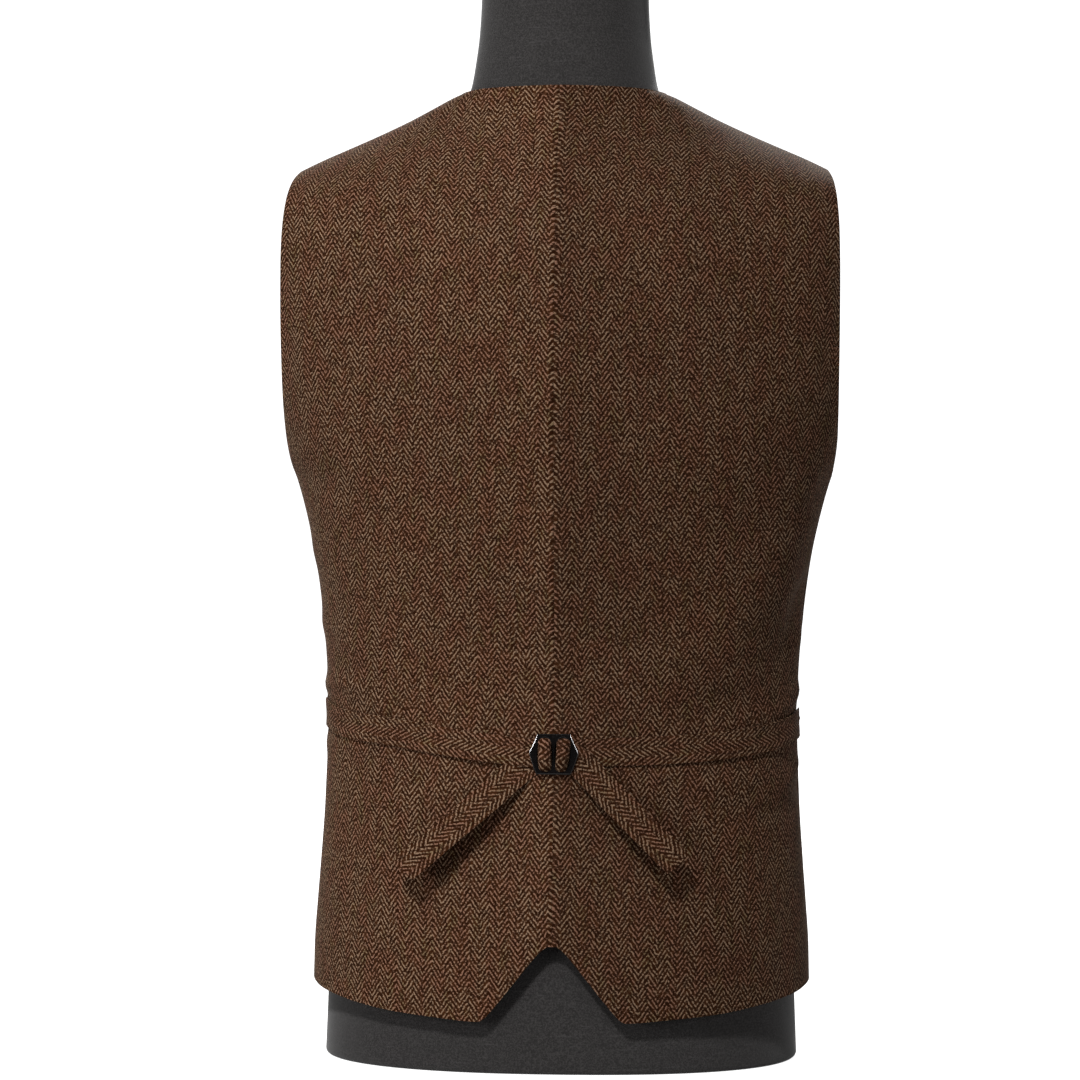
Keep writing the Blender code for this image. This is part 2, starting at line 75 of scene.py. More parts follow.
# height, half width, back face y, front face y, side line y, squareness
GARMENT_SECTIONS = (
    (0.0, 173.7, -121.0, 120.0, 0.0, 2.30),
    (51.0, 171.4, -120.0, 119.0, 0.0, 2.30),
    (79.0, 170.7, -118.5, 117.5, 0.0, 2.30),
    (107.0, 168.8, -115.5, 116.0, 0.0, 2.30),
    (135.0, 166.7, -111.5, 114.0, 0.0, 2.30),
    (177.0, 164.0, -105.0, 110.5, 0.0, 2.30),
    (240.0, 162.2, -98.0, 107.5, 0.0, 2.30),
    (289.0, 164.4, -101.0, 110.0, 0.0, 2.32),
    (317.0, 167.3, -105.5, 113.5, 0.0, 2.34),
    (345.0, 171.2, -110.5, 118.0, 0.0, 2.36),
    (373.0, 176.9, -115.0, 122.5, 0.0, 2.38),
    (401.0, 184.6, -119.0, 126.5, 0.0, 2.40),
    (415.0, 190.0, -120.5, 128.0, 0.0, 2.42),
    (430.0, 194.0, -121.8, 129.0, 0.0, 2.44),
    (460.0, 202.0, -123.5, 130.0, 0.0, 2.45),
    (500.0, 209.5, -122.5, 127.0, 0.0, 2.45),
    (540.0, 215.0, -118.0, 118.0, -1.0, 2.40),
    (565.0, 219.5, -112.0, 108.0, -2.0, 2.30),
    (580.0, 219.0, -106.5, 99.0, -3.0, 2.20),
    (592.0, 214.5, -101.5, 90.5, -3.5, 2.10),
    (600.0, 207.5, -97.5, 84.0, -4.0, 2.00),
    (607.8, 196.0, -93.5, 78.0, -4.5, 1.90),
    (614.8, 183.0, -89.5, 73.0, -5.0, 1.82),
    (621.8, 168.7, -85.5, 68.0, -5.0, 1.75),
    (628.8, 152.6, -81.0, 64.0, -5.5, 1.70),
    (635.8, 136.5, -77.0, 60.0, -5.5, 1.68),
    (642.8, 120.8, -73.0, 57.0, -6.0, 1.70),
    (649.8, 106.0, -69.5, 54.5, -6.0, 1.75),
    (656.8, 92.4, -67.0, 52.5, -6.0, 1.85),
    (663.8, 78.5, -65.0, 51.5, -6.0, 2.00),
    (666.8, 71.5, -64.5, 51.0, -6.0, 2.10),
    (671.0, 68.5, -64.0, 51.0, -6.0, 2.15),
    (690.0, 66.0, -63.0, 52.0, -5.5, 2.15),
)
# What the form leaves free inside the garment: height, at the sides, front and back
FORM_EASE = (
    (0.0, 9.0, 8.0),
    (120.0, 8.0, 6.0),
    (240.0, 7.5, 5.0),
    (400.0, 9.0, 5.0),
    (460.0, 14.0, 5.0),
    (510.0, 10.0, 4.5),
    (550.0, 6.0, 3.5),
    (580.0, 3.6, 2.6),
    (600.0, 2.8, 1.8),
    (640.0, 2.8, 1.8),
    (667.0, 3.6, 2.6),
)
NECK_SECTIONS = (
    (667.0, 67.3, -61.9, 48.4, -6.0, 2.10),
    (677.0, 64.6, -60.4, 50.0, -5.0, 2.10),
    (690.0, 62.5, -59.5, 51.0, -4.0, 2.05),
    (710.0, 60.0, -57.5, 52.0, -3.0, 2.00),
    (730.0, 58.8, -56.5, 53.0, -2.0, 2.00),
    (752.0, 58.2, -55.5, 54.0, -1.0, 2.00),
)
# Panel edges. Neckline and hems: distance out, height. The others: height, distance out
BACK_NECKLINE = ((0.0, 668.0), (30.0, 668.0), (50.0, 667.8), (66.0, 667.2), (71.5, 666.8))
BACK_HEM = (
    (0.0, 86.7), (3.0, 86.2), (7.0, 83.5), (11.6, 78.7), (22.3, 65.4), (32.9, 52.1),
    (43.6, 39.4), (46.5, 36.8), (49.0, 36.0), (79.0, 38.0), (110.0, 40.6),
    (139.0, 44.8), (160.0, 49.0), (167.0, 51.5), (172.0, 54.0),
)
BACK_ARMHOLE = (
    (407.0, 186.8), (408.5, 186.3), (413.0, 186.9), (420.0, 187.8), (430.0, 188.7),
    (457.0, 189.3), (499.0, 189.7), (541.0, 189.8), (569.0, 189.5), (590.0, 188.3),
    (604.0, 186.4), (615.2, 182.4),
)
FRONT_ARMHOLE = (
    (407.0, 186.8), (409.0, 186.6), (413.0, 186.6), (420.0, 186.2), (432.0, 185.0),
    (455.0, 182.0), (485.0, 177.0), (520.0, 171.5), (555.0, 167.5), (585.0, 170.5),
    (604.0, 176.5), (615.2, 182.4),
)
FRONT_EDGE = (
    (8.0, 50.0), (14.0, 45.0), (35.0, 28.5), (60.0, 12.0), (90.0, -2.0), (118.0, -10.8),
    (140.0, -13.0), (422.0, -13.0), (436.0, -11.5), (450.0, -7.0), (520.0, 18.5),
    (590.0, 44.0), (640.0, 62.5), (666.8, 71.5),
)
FRONT_HEM = ((50.0, 8.0), (58.0, 9.5), (90.0, 20.0), (125.0, 34.0), (155.0, 47.0), (172.0, 54.0))

# Fine grid of a panel: (share of the width or height reached, steps to it)
BACK_COLUMNS = ((0.018, 9), (0.2085, 22), (0.3828, 24), (1.0, 66))
FRONT_COLUMNS = ((1.0, 100),)
ROWS_BELOW_ARMHOLE = 110
ROWS_AROUND_ARMHOLE = 5
ROWS_ABOVE_ARMHOLE = 82
ARMHOLE_TURN = 1.5 * MM
STRAIGHT_ROW = 0.86  # from this row up, the columns stand at even distances

# ---- half belts
STRAP_WIDTH = 19.0 * MM
STRAP_CLOTH = 1.5 * MM
STRAP_SEAT = 0.3 * MM
STRAP_END = 1.2 * MM
STRAP_EDGE = 0.45 * MM
STRAP_CROWN = 0.25 * MM
STRAP_SQUARENESS = 4
LOOP_SQUARENESS = 2.6
LOOP_SPREAD = 0.034  # extra width of a loop for each millimetre that it bulges
# across from the centre back, height, tilt in degrees, lift, puff in the buckle's window
STRAP_RIGHT = (
    (400.0, 235.0, 0.0, 3.0, 0.0), (196.0, 231.0, -8.0, 3.0, 0.0), (178.0, 227.6, -9.0, 3.0, 0.0),
    (160.0, 224.8, -8.0, 3.0, 0.0), (142.0, 222.4, -6.0, 3.0, 0.0), (124.0, 220.3, -4.0, 3.0, 0.0),
    (106.0, 218.6, -3.0, 3.0, 0.0), (88.0, 217.4, -2.0, 3.0, 0.0), (70.0, 216.6, -1.0, 3.0, 0.0),
    (52.0, 216.0, -1.0, 3.0, 0.0), (34.0, 215.2, 0.0, 3.0, 0.0), (20.0, 214.5, 2.0, 2.95, 0.0),
    (12.0, 214.0, 3.0, 2.9, 0.0), (7.0, 213.8, 3.0, 2.9, 0.0), (3.3, 213.5, 3.0, 3.0, 0.3),
    (2.2, 213.2, 3.0, 3.7, 1.7), (2.4, 213.0, 3.0, 4.3, 4.1), (3.7, 212.9, 3.0, 4.7, 5.9),
    (5.9, 212.8, 4.0, 4.8, 6.5), (8.0, 212.8, 6.0, 4.8, 5.9), (9.3, 212.7, 8.0, 4.8, 4.1),
    (9.7, 212.6, 10.0, 4.8, 1.8), (11.6, 212.2, 16.0, 4.75, 0.2), (16.5, 208.6, 31.0, 4.75, 0.0),
    (21.5, 203.5, 39.0, 5.3, 0.0), (30.0, 194.4, 44.0, 7.2, 0.0), (43.0, 180.4, 43.0, 10.8, 0.0),
    (57.0, 165.0, 42.0, 14.2, 0.0), (69.0, 152.0, 42.0, 16.8, 0.0), (79.5, 140.8, 42.0, 19.0, 0.0),
)
STRAP_LEFT = (
    (400.0, 240.2, 0.0, 3.0, 0.0), (196.0, 237.6, -9.0, 3.0, 0.0), (178.0, 234.8, -10.0, 3.0, 0.0),
    (160.0, 231.8, -11.0, 3.0, 0.0), (142.0, 229.8, -11.0, 3.0, 0.0), (124.0, 228.2, -10.0, 3.0, 0.0),
    (106.0, 226.2, -10.0, 3.0, 0.0), (88.0, 223.6, -9.0, 3.1, 0.0), (70.0, 221.0, -9.0, 3.6, 0.0),
    (56.0, 219.0, -8.0, 4.3, 0.0), (42.0, 217.2, -7.0, 4.75, 0.0), (26.0, 215.4, -4.0, 4.75, 0.0),
    (12.0, 214.0, 0.0, 4.75, 0.1), (9.7, 213.6, 1.0, 4.8, 1.8), (9.3, 213.3, 2.0, 4.8, 4.1),
    (8.0, 213.1, 2.0, 4.8, 5.9), (5.9, 213.0, 2.0, 4.8, 6.5), (3.7, 213.0, 2.0, 4.7, 5.9),
    (2.4, 213.1, 2.0, 4.3, 4.1), (2.2, 213.2, 2.0, 3.7, 1.7), (3.3, 213.2, 4.0, 3.0, 0.3),
    (7.0, 212.9, 12.0, 2.9, 0.0), (12.0, 210.8, 27.0, 2.9, 0.0), (20.0, 205.6, 40.0, 3.1, 0.0),
    (30.0, 196.4, 45.0, 6.0, 0.0), (44.0, 182.6, 46.0, 10.6, 0.0), (58.0, 168.8, 45.0, 14.2, 0.0),
    (72.0, 155.4, 44.0, 16.8, 0.0), (84.0, 144.2, 43.5, 18.6, 0.0), (94.5, 134.6, 43.0, 20.0, 0.0),
)
STRAP_STEPS = 5
STRAP_ACROSS = 15

# ---- buckle
BUCKLE_HEIGHT = 213.3 * MM
BUCKLE_LIFT = 6.8 * MM
BUCKLE_THICKNESS = 1.9 * MM
BUCKLE_EDGE = 0.7 * MM
BUCKLE_OUTLINE = (
    (0.0, 13.8), (10.4, 13.8), (11.4, 12.8), (13.6, 7.6), (16.2, 2.0), (16.5, 0.8),
    (16.2, -0.8), (14.2, -7.0), (12.0, -12.4), (10.8, -13.4), (0.0, -13.4),
)
BUCKLE_WINDOW_CENTRE = 5.95 * MM
BUCKLE_WINDOW_HALF = (5.0 * MM, 11.2 * MM)
BUCKLE_WINDOW_POWER = 0.7
# How far out and up a bevel face must be to get the painted highlight metal
BUCKLE_BRIGHT_OUT = 10.6 * MM
BUCKLE_BRIGHT_UP = -0.6 * MM
FLAT = 0.98  # a face whose normal's Z is past this lies flat on the plate
WELD = 0.01 * MM
ROUND_STEPS = 48  # round a button, and round a window of the buckle

# ---- buttons
BUTTON_RADIUS = 7.5 * MM
BUTTON_THICKNESS = 2.6 * MM
BUTTON_RIM = 0.9 * MM
BUTTON_HOLE = 0.75 * MM
BUTTON_HOLE_SPACING = 1.5 * MM
BUTTON_SEAT = 0.55 * MM
THREAD_RADIUS = 0.32 * MM
THREAD_CROSSING = 0.25 * MM
BUTTONHOLE_CENTRE = 5.0 * MM
BUTTONHOLE_HALF = (10.0 * MM, 1.1 * MM)
BUTTONHOLE_CORD = 0.5 * MM
BUTTONHOLE_POWER = 0.6
BUTTONHOLE_LIFT = 0.1 * MM

# ---- dress form
FORM_TURNS = 160
FORM_EDGE = 3.0 * MM
ARM_PLATE = 184.0 * MM  # where the form is cut off flat beside the armholes
ARM_PLATE_SOFTNESS = 4.0 * MM

# ---- creases
# Ridges (+) and troughs (-) laid along the cloth: from across, height, to across, height,
# half width, depth; all in mm, across positive towards the wearer's right. Depths are
# multiplied by CREASE_DEPTH, and a crease bows, thins and ends by these shares of its size
CREASE_DEPTH = 1.6
CREASE_BOW = 0.10
CREASE_TAPER = 0.55
CREASE_END = 1.6
CREASES_FADE = (560.0 * MM, 610.0 * MM)
SEAM_RIDGE = 2.2 * MM
SEAM_RIDGE_REACH = 30.0 * MM
SEAM_ROLL = 1.4 * MM
SEAM_ROLL_REACH = 1.1 * MM
BACK_CREASES = (
    (-196, 257, -112, 241, 6.0, 1.3),
    (-192, 216, -130, 206, 7.0, 0.7),
    (-150, 232, -214, 242, 9.0, -0.9),
    (-208, 300, -120, 268, 9.0, 0.9),
    (196, 254, 118, 238, 6.5, 1.4),
    (196, 204, 112, 190, 6.0, 1.0),
    (206, 186, 96, 176, 8.0, -1.1),
    (200, 292, 110, 262, 9.0, 0.8),
    (150, 198, 84, 204, 5.0, 0.8),
    (-150, 206, -96, 196, 6.0, -0.8),
    (-200, 398, -120, 372, 12.0, -0.9),
    (205, 396, 118, 366, 12.0, -1.0),
    (-206, 350, -150, 330, 10.0, 0.7),
    (204, 344, 140, 322, 10.0, 0.7),
    (-64, 640, -58, 470, 24.0, 0.9),
    (70, 650, 64, 480, 24.0, 0.9),
    (-34, 600, -30, 330, 18.0, -0.7),
    (36, 620, 32, 320, 20.0, -1.0),
    (-120, 590, -150, 470, 22.0, -0.8),
    (128, 590, 152, 480, 22.0, -0.9),
    (-60, 150, -70, 52, 15.0, 0.9),
    (92, 160, 104, 50, 17.0, 0.9),
    (-150, 150, -160, 60, 14.0, -0.8),
    (160, 140, 168, 60, 13.0, -0.9),
    (174, 374, 60, 258, 24.0, 3.0),
    (194, 318, 108, 240, 18.0, -2.4),
    (52, 214, 116, 124, 11.0, -2.0),
    (150, 226, 214, 236, 9.0, -1.0),
    (24, 190, 34, 96, 12.0, -0.9),
    (-26, 186, -34, 96, 12.0, -0.8),
)
FRONT_CREASES = (
    (-194, 257, -110, 246, 8.0, 1.2),
    (194, 254, 116, 246, 8.0, 1.3),
    (-150, 236, -214, 242, 9.0, -0.9),
    (150, 230, 214, 236, 9.0, -1.0),
    (-210, 222, -120, 210, 7.0, -1.0),
    (212, 226, 128, 212, 7.0, -1.1),
    (-206, 300, -100, 330, 10.0, 0.9),
    (204, 306, 96, 338, 10.0, 0.8),
    (-170, 470, -110, 420, 12.0, -1.0),
    (172, 474, 112, 424, 12.0, -1.1),
    (-90, 600, -60, 500, 16.0, 0.8),
    (92, 604, 64, 506, 16.0, 0.8),
    (-60, 240, -20, 228, 7.0, 0.8),
    (60, 236, 20, 228, 7.0, 0.8),
    (-60, 300, -20, 290, 8.0, 0.6),
    (58, 174, 20, 166, 8.0, 0.7),
    (-110, 130, -120, 36, 15.0, 0.9),
    (112, 132, 124, 34, 15.0, 0.9),
    (-170, 150, -176, 60, 13.0, -0.8),
    (168, 150, 172, 60, 13.0, -0.8),
)

# ---- cloth pattern
CHEVRON_HALF_WIDTH = 6.55 * MM
RIB_PITCH = 4.3 * MM
RIB_SLOPE = 1.45
STRAP_CHEVRON_HALF_WIDTH = 6.4 * MM
RIGHT_SIDE_PAINTED_SHADE = 0.76  # painted shade: share of brightness kept by the cloth of the right back panel and right belt
DARK_YARN = (0.0046, 0.0011, 0.0001)
RUST_YARN = (0.0116, 0.0036, 0.0009)
TAN_YARN = (0.0669, 0.0429, 0.0277)
RED_YARN = (0.0610, 0.0319, 0.0209)
OLIVE_YARN = (0.0500, 0.0345, 0.0185)
WORN_TINT = (1.15, 1.12, 1.06)


# ==== surfaces
class Profile:
    """Rows of named sizes in millimetres, read in metres at any level, with no overshoot."""

    def __init__(self, rows, lengths=None):
        table = np.array(rows, dtype=float)
        if lengths is None:
            lengths = table.shape[1]
        table[:, :lengths] *= MM
        self.level = table[:, 0]
        self.values = table[:, 1:]
        slope = np.diff(self.values, axis=0) / np.diff(self.level)[:, None]
        before, after = slope[:-1], slope[1:]
        same_way = before * after > 0.0
        total = np.where(same_way, before + after, 1.0)
        inner = np.where(same_way, 2.0 * before * after / total, 0.0)
        self.slope = np.vstack([slope[:1], inner, slope[-1:]])

    def __call__(self, level):
        """One row of values for each level asked for."""
        level = np.clip(np.atleast_1d(level).astype(float), self.level[0], self.level[-1])
        row = np.clip(np.searchsorted(self.level, level) - 1, 0, len(self.level) - 2)
        span = (self.level[row + 1] - self.level[row])[:, None]
        t = (level[:, None] - self.level[row][:, None]) / span
        start = self.values[row] * (2 * t**3 - 3 * t**2 + 1)
        end = self.values[row + 1] * (3 * t**2 - 2 * t**3)
        leaving = self.slope[row] * span * (t**3 - 2 * t**2 + t)
        reaching = self.slope[row + 1] * span * (t**3 - t**2)
        return start + end + leaving + reaching

    def first(self, level):
        return self(level)[:, 0]


garment = Profile(GARMENT_SECTIONS, lengths=5)
ease = Profile(FORM_EASE)
neck = Profile(NECK_SECTIONS, lengths=5)
back_neckline = Profile(BACK_NECKLINE)
back_hem = Profile(BACK_HEM)
back_armhole = Profile(BACK_ARMHOLE)
front_armhole = Profile(FRONT_ARMHOLE)
front_edge = Profile(FRONT_EDGE)
front_hem = Profile(FRONT_HEM)

RIDGE_HEIGHTS = np.linspace(0.600, 0.667, 400)
RIDGE_REACH = garment.first(RIDGE_HEIGHTS)


def ridge_height(reach):
    """Height of the shoulder line at this distance out from the middle."""
    return np.interp(-np.asarray(reach), -RIDGE_REACH, RIDGE_HEIGHTS)


def eased(low, high, value):
    part = np.clip((value - low) / (high - low), 0.0, 1.0)
    return part * part * (3.0 - 2.0 * part)


def mix(first, last, part):
    return first + (last - first) * part


def rounded_wave(value, power):
    """A sine or cosine raised to a power, its sign kept."""
    return np.sign(value) * np.abs(value) ** power


def how_far_out(x, y, height):
    """1 on the garment's section at this height, less inside it."""
    half_width, back, front, side, squareness = garment(height).T
    depth = np.where(y > side, front - side, side - back)
    return (np.abs(x) / half_width) ** squareness + (np.abs(y - side) / depth) ** squareness


def outward(points):
    """Unit vectors square to the garment's surface at these points."""
    step = 0.05 * MM
    x, y, z = points.T
    slopes = np.stack(
        [
            how_far_out(x + step, y, z) - how_far_out(x - step, y, z),
            how_far_out(x, y + step, z) - how_far_out(x, y - step, z),
            how_far_out(x, y, z + step) - how_far_out(x, y, z - step),
        ],
        axis=1,
    )
    return slopes / np.linalg.norm(slopes, axis=1, keepdims=True)


def section_lines(height, side):
    """For each height, the back or front half of the section from side line to side line,
    and each point's distance along the cloth from the middle."""
    half_width, back, front, line, squareness = garment(height).T[:, :, None]
    depth = back - line if side == BACK else front - line
    angles = np.linspace(-math.pi / 2, math.pi / 2, 361)[None, :]
    power = 2.0 / squareness
    x = half_width * rounded_wave(np.sin(angles), power)
    y = line + depth * np.maximum(np.cos(angles), 0.0) ** power
    steps = np.hypot(np.diff(x, axis=1), np.diff(y, axis=1))
    along = np.concatenate([np.zeros((len(x), 1)), np.cumsum(steps, axis=1)], axis=1)
    return x, y, along - along[:, -1:] / 2.0


def read_rows(wanted, known, values):
    return np.array([np.interp(w, k, v) for w, k, v in zip(wanted, known, values)])


def on_garment(across, height, side, lift):
    """Points this far along the cloth from the middle, moved out by lift."""
    x, y, along = section_lines(height, side)
    limit = along[:, -1] - SEAM_GAP / 2.0
    across = np.clip(across, -limit, limit)
    points = np.stack([read_rows(across, along, x), read_rows(across, along, y), height], axis=1)
    return points + outward(points) * np.asarray(lift)[:, None]


def place(inner, armhole, part, height, side, straightness):
    """Panel points from its inner edge to the side line or the armhole, their distance along
    the cloth, and which of them lie on the armhole."""
    x, y, along = section_lines(height, side)
    limit = along[:, -1] - SEAM_GAP / 2.0
    outer = armhole.first(height)
    start = read_rows(inner, x, along)
    opening = np.minimum(read_rows(outer, x, along), limit)
    end = np.where(height > ARMHOLE_BOTTOM, opening, limit)
    by_length = mix(start, mix(limit, end, straightness), part)
    cut = by_length >= end - 0.01 * MM
    even = np.minimum(mix(inner, outer, part), outer)
    chosen = mix(read_rows(by_length, along, x), even, straightness)
    across = np.where(straightness > 0.0, read_rows(chosen, x, along), by_length)
    across = np.where(cut, end, np.minimum(across, end))
    points = np.stack([read_rows(across, along, x), read_rows(across, along, y), height], axis=1)
    return points, across, cut & (height > ARMHOLE_BOTTOM)


def steps_to(stops):
    """Shares from 0 to 1 that pass exactly through each stop."""
    shares, last = [0.0], 0.0
    for stop, count in stops:
        shares.extend(np.linspace(last, stop, count + 1)[1:])
        last = stop
    return np.array(shares)


def panel_rows():
    armhole = (ARMHOLE_BOTTOM - SIDE_HEM) / (float(ridge_height(SHOULDER_REACH)) - SIDE_HEM)
    below = np.linspace(0.0, armhole, ROWS_BELOW_ARMHOLE + 1)
    turn = ARMHOLE_TURN / (float(ridge_height(SHOULDER_REACH)) - SIDE_HEM)
    around = armhole + turn * np.linspace(0.0, 1.0, ROWS_AROUND_ARMHOLE + 1)[1:] ** 1.3
    part = np.linspace(0.0, 1.0, ROWS_ABOVE_ARMHOLE + 1)[1:]
    above = mix(armhole + turn, 1.0, 1.0 - (1.0 - part) ** 1.7)
    above[-1] = 1.0
    return armhole, np.concatenate([below, around, above])


def back_grid():
    """Points of a right back panel's inside, row by row, and distance across."""
    armhole, rows = panel_rows()
    part, row = np.meshgrid(steps_to(BACK_COLUMNS), rows)
    shape = part.shape
    part, row = part.ravel(), row.ravel()
    x, _, along = section_lines(np.array([SIDE_HEM]), BACK)
    hem_reach = np.interp(part * along[0, -1], along[0], x[0])
    bottom = back_hem.first(hem_reach)
    reach = part * SHOULDER_REACH
    on_shoulder = reach > NECK_HALF_WIDTH - 0.1 * MM
    top = np.where(on_shoulder, ridge_height(reach), back_neckline.first(reach))
    height = mix(bottom, top, row)
    straightness = eased(armhole, STRAIGHT_ROW, row)
    inner = np.full_like(row, SEAM_GAP / 2.0)
    points, across, cut = place(inner, back_armhole, part, height, BACK, straightness)
    seam = (row == 1.0) & on_shoulder
    points[seam, 0] = reach[seam]
    points[seam, 1] = garment(height[seam])[:, 3] - SEAM_GAP / 2.0
    return points, across, cut, shape


def front_grid():
    armhole, rows = panel_rows()
    part, row = np.meshgrid(steps_to(FRONT_COLUMNS), rows)
    shape = part.shape
    part, row = part.ravel(), row.ravel()
    top_inner = float(ridge_height(NECK_HALF_WIDTH))
    top_outer = float(ridge_height(SHOULDER_REACH))
    x, _, along = section_lines(np.array([SIDE_HEM]), FRONT)
    start = np.interp(front_edge.first(FRONT_POINT)[0], x[0], along[0])
    hem_reach = np.interp(mix(start, along[0, -1], part), along[0], x[0])
    bottom = front_hem.first(hem_reach)
    reach = mix(NECK_HALF_WIDTH, SHOULDER_REACH, part)
    top = ridge_height(reach)
    cutaway_row = (CUTAWAY_TOP - SIDE_HEM) / (top_outer - SIDE_HEM)
    edge_height = np.interp(
        row, (0.0, cutaway_row, armhole, 1.0), (FRONT_POINT, CUTAWAY_TOP, V_BREAK, top_inner)
    )
    edge_row = (edge_height - FRONT_POINT) / (top_inner - FRONT_POINT)
    height = mix(bottom, top, mix(edge_row, row, part))
    inner = front_edge.first(edge_height)
    straightness = eased(armhole, STRAIGHT_ROW, row)
    points, across, cut = place(inner, front_armhole, part, height, FRONT, straightness)
    seam = row == 1.0
    points[seam, 0] = reach[seam]
    points[seam, 1] = garment(height[seam])[:, 3] + SEAM_GAP / 2.0
    return points, across, cut, shape


def creased(across, height, creases):
    """How far the cloth stands off its even surface, from the listed creases."""
    total = np.zeros_like(across)
    for from_across, from_height, to_across, to_height, width, depth in creases:
        start = np.array([from_across, from_height]) * MM
        run = np.array([to_across, to_height]) * MM - start
        length = np.hypot(*run)
        along = ((across - start[0]) * run[0] + (height - start[1]) * run[1]) / length**2
        aside = ((height - start[1]) * run[0] - (across - start[0]) * run[1]) / length
        bow = CREASE_BOW * length * np.sin(math.pi * np.clip(along, 0.0, 1.0))
        past = np.maximum(np.maximum(-along, along - 1.0), 0.0) * length
        fade = np.exp(-((past / (CREASE_END * width * MM)) ** 2))
        taper = 1.0 - CREASE_TAPER * np.clip(along, 0.0, 1.0)
        round_top = np.exp(-(((aside - bow) / (width * MM)) ** 2))
        total += CREASE_DEPTH * depth * MM * taper * fade * round_top
    return total


def relief_of(across, height, creases):
    """The creases, fading where the cloth lies on the form's shoulders."""
    return creased(across, height, creases) * (1.0 - eased(*CREASES_FADE, height))


class ClothLength:
    """Distance up the cloth at any reach and height, square to the level lines."""

    def __init__(self, side):
        self.reach = np.linspace(0.0, 0.290, 146)
        self.level = np.linspace(0.0, 0.670, 336)
        reach, level = np.meshgrid(self.reach, self.level)
        points = on_garment(reach.ravel(), level.ravel(), side, np.zeros(reach.size))
        out = outward(points)
        along = np.stack([-out[:, 1], out[:, 0], np.zeros(len(out))], axis=1)
        along /= np.maximum(np.linalg.norm(along, axis=1, keepdims=True), 1e-6)
        shape = (*reach.shape, 3)
        steps = np.diff(points.reshape(shape), axis=0)
        along = along.reshape(shape)[1:]
        steps = steps - along * np.sum(steps * along, axis=2, keepdims=True)
        rises = np.linalg.norm(steps, axis=2)
        self.length = np.vstack([np.zeros((1, len(self.reach))), np.cumsum(rises, axis=0)])

    def __call__(self, reach, level):
        column = np.clip(np.abs(reach) / self.reach[1], 0, len(self.reach) - 1.001)
        row = np.clip(level / self.level[1], 0, len(self.level) - 1.001)
        c, r = column.astype(int), row.astype(int)
        c_part, r_part = column - c, row - r
        low = mix(self.length[r, c], self.length[r, c + 1], c_part)
        high = mix(self.length[r + 1, c], self.length[r + 1, c + 1], c_part)
        return mix(low, high, r_part)


def grid_mesh(name, points, shape, uv, outward_at_first, cut=None):
    """A mesh of quads through a grid of points, facing outwards."""
    rows, columns = shape
    index = np.arange(rows * columns).reshape(shape)
    quads = np.stack(
        [index[:-1, :-1], index[:-1, 1:], index[1:, 1:], index[1:, :-1]], axis=-1
    ).reshape(-1, 4)
    first = points[quads[0]]
    facing = np.cross(first[1] - first[0], first[2] - first[0])
    if np.dot(facing, outward_at_first) < 0.0:
        quads = quads[:, ::-1]
    if cut is not None:
        quads = quads[~np.all(cut[quads], axis=1)]
        used = np.unique(quads)
        renumber = np.zeros(len(points), dtype=int)
        renumber[used] = np.arange(len(used))
        points, uv, quads = points[used], uv[used], renumber[quads]
    mesh = bpy.data.meshes.new(name)
    mesh.from_pydata(points.tolist(), [], quads.tolist())
    layer = mesh.uv_layers.new(name="cloth")
    corners = np.empty(len(mesh.loops), dtype=np.int32)
    mesh.loops.foreach_get("vertex_index", corners)
    layer.data.foreach_set("uv", uv[corners].astype(np.float32).ravel())
    mesh.polygons.foreach_set("use_smooth", [True] * len(mesh.polygons))
    mesh.update()
    return mesh


def add_object(name, data):
    obj = bpy.data.objects.new(name, data)
    bpy.context.scene.collection.objects.link(obj)
    return obj


def place_piece(name, mesh, look):
    mesh.materials.append(look)
    return add_object(name, mesh)


def evaluated_mesh(obj):
    """A mesh of the object's whole shape, modifiers and curve thickness applied."""
    graph = bpy.context.evaluated_depsgraph_get()
    return bpy.data.meshes.new_from_object(obj.evaluated_get(graph))


def thicken(obj, thickness, offset, edge):
    solidify = obj.modifiers.new("thickness", "SOLIDIFY")
    solidify.thickness = thickness
    solidify.offset = offset
    bevel = obj.modifiers.new("turned_edge", "BEVEL")
    bevel.width = edge
    bevel.segments = 3
    bevel.limit_method = "ANGLE"
    bevel.angle_limit = math.radians(50.0)
    return obj


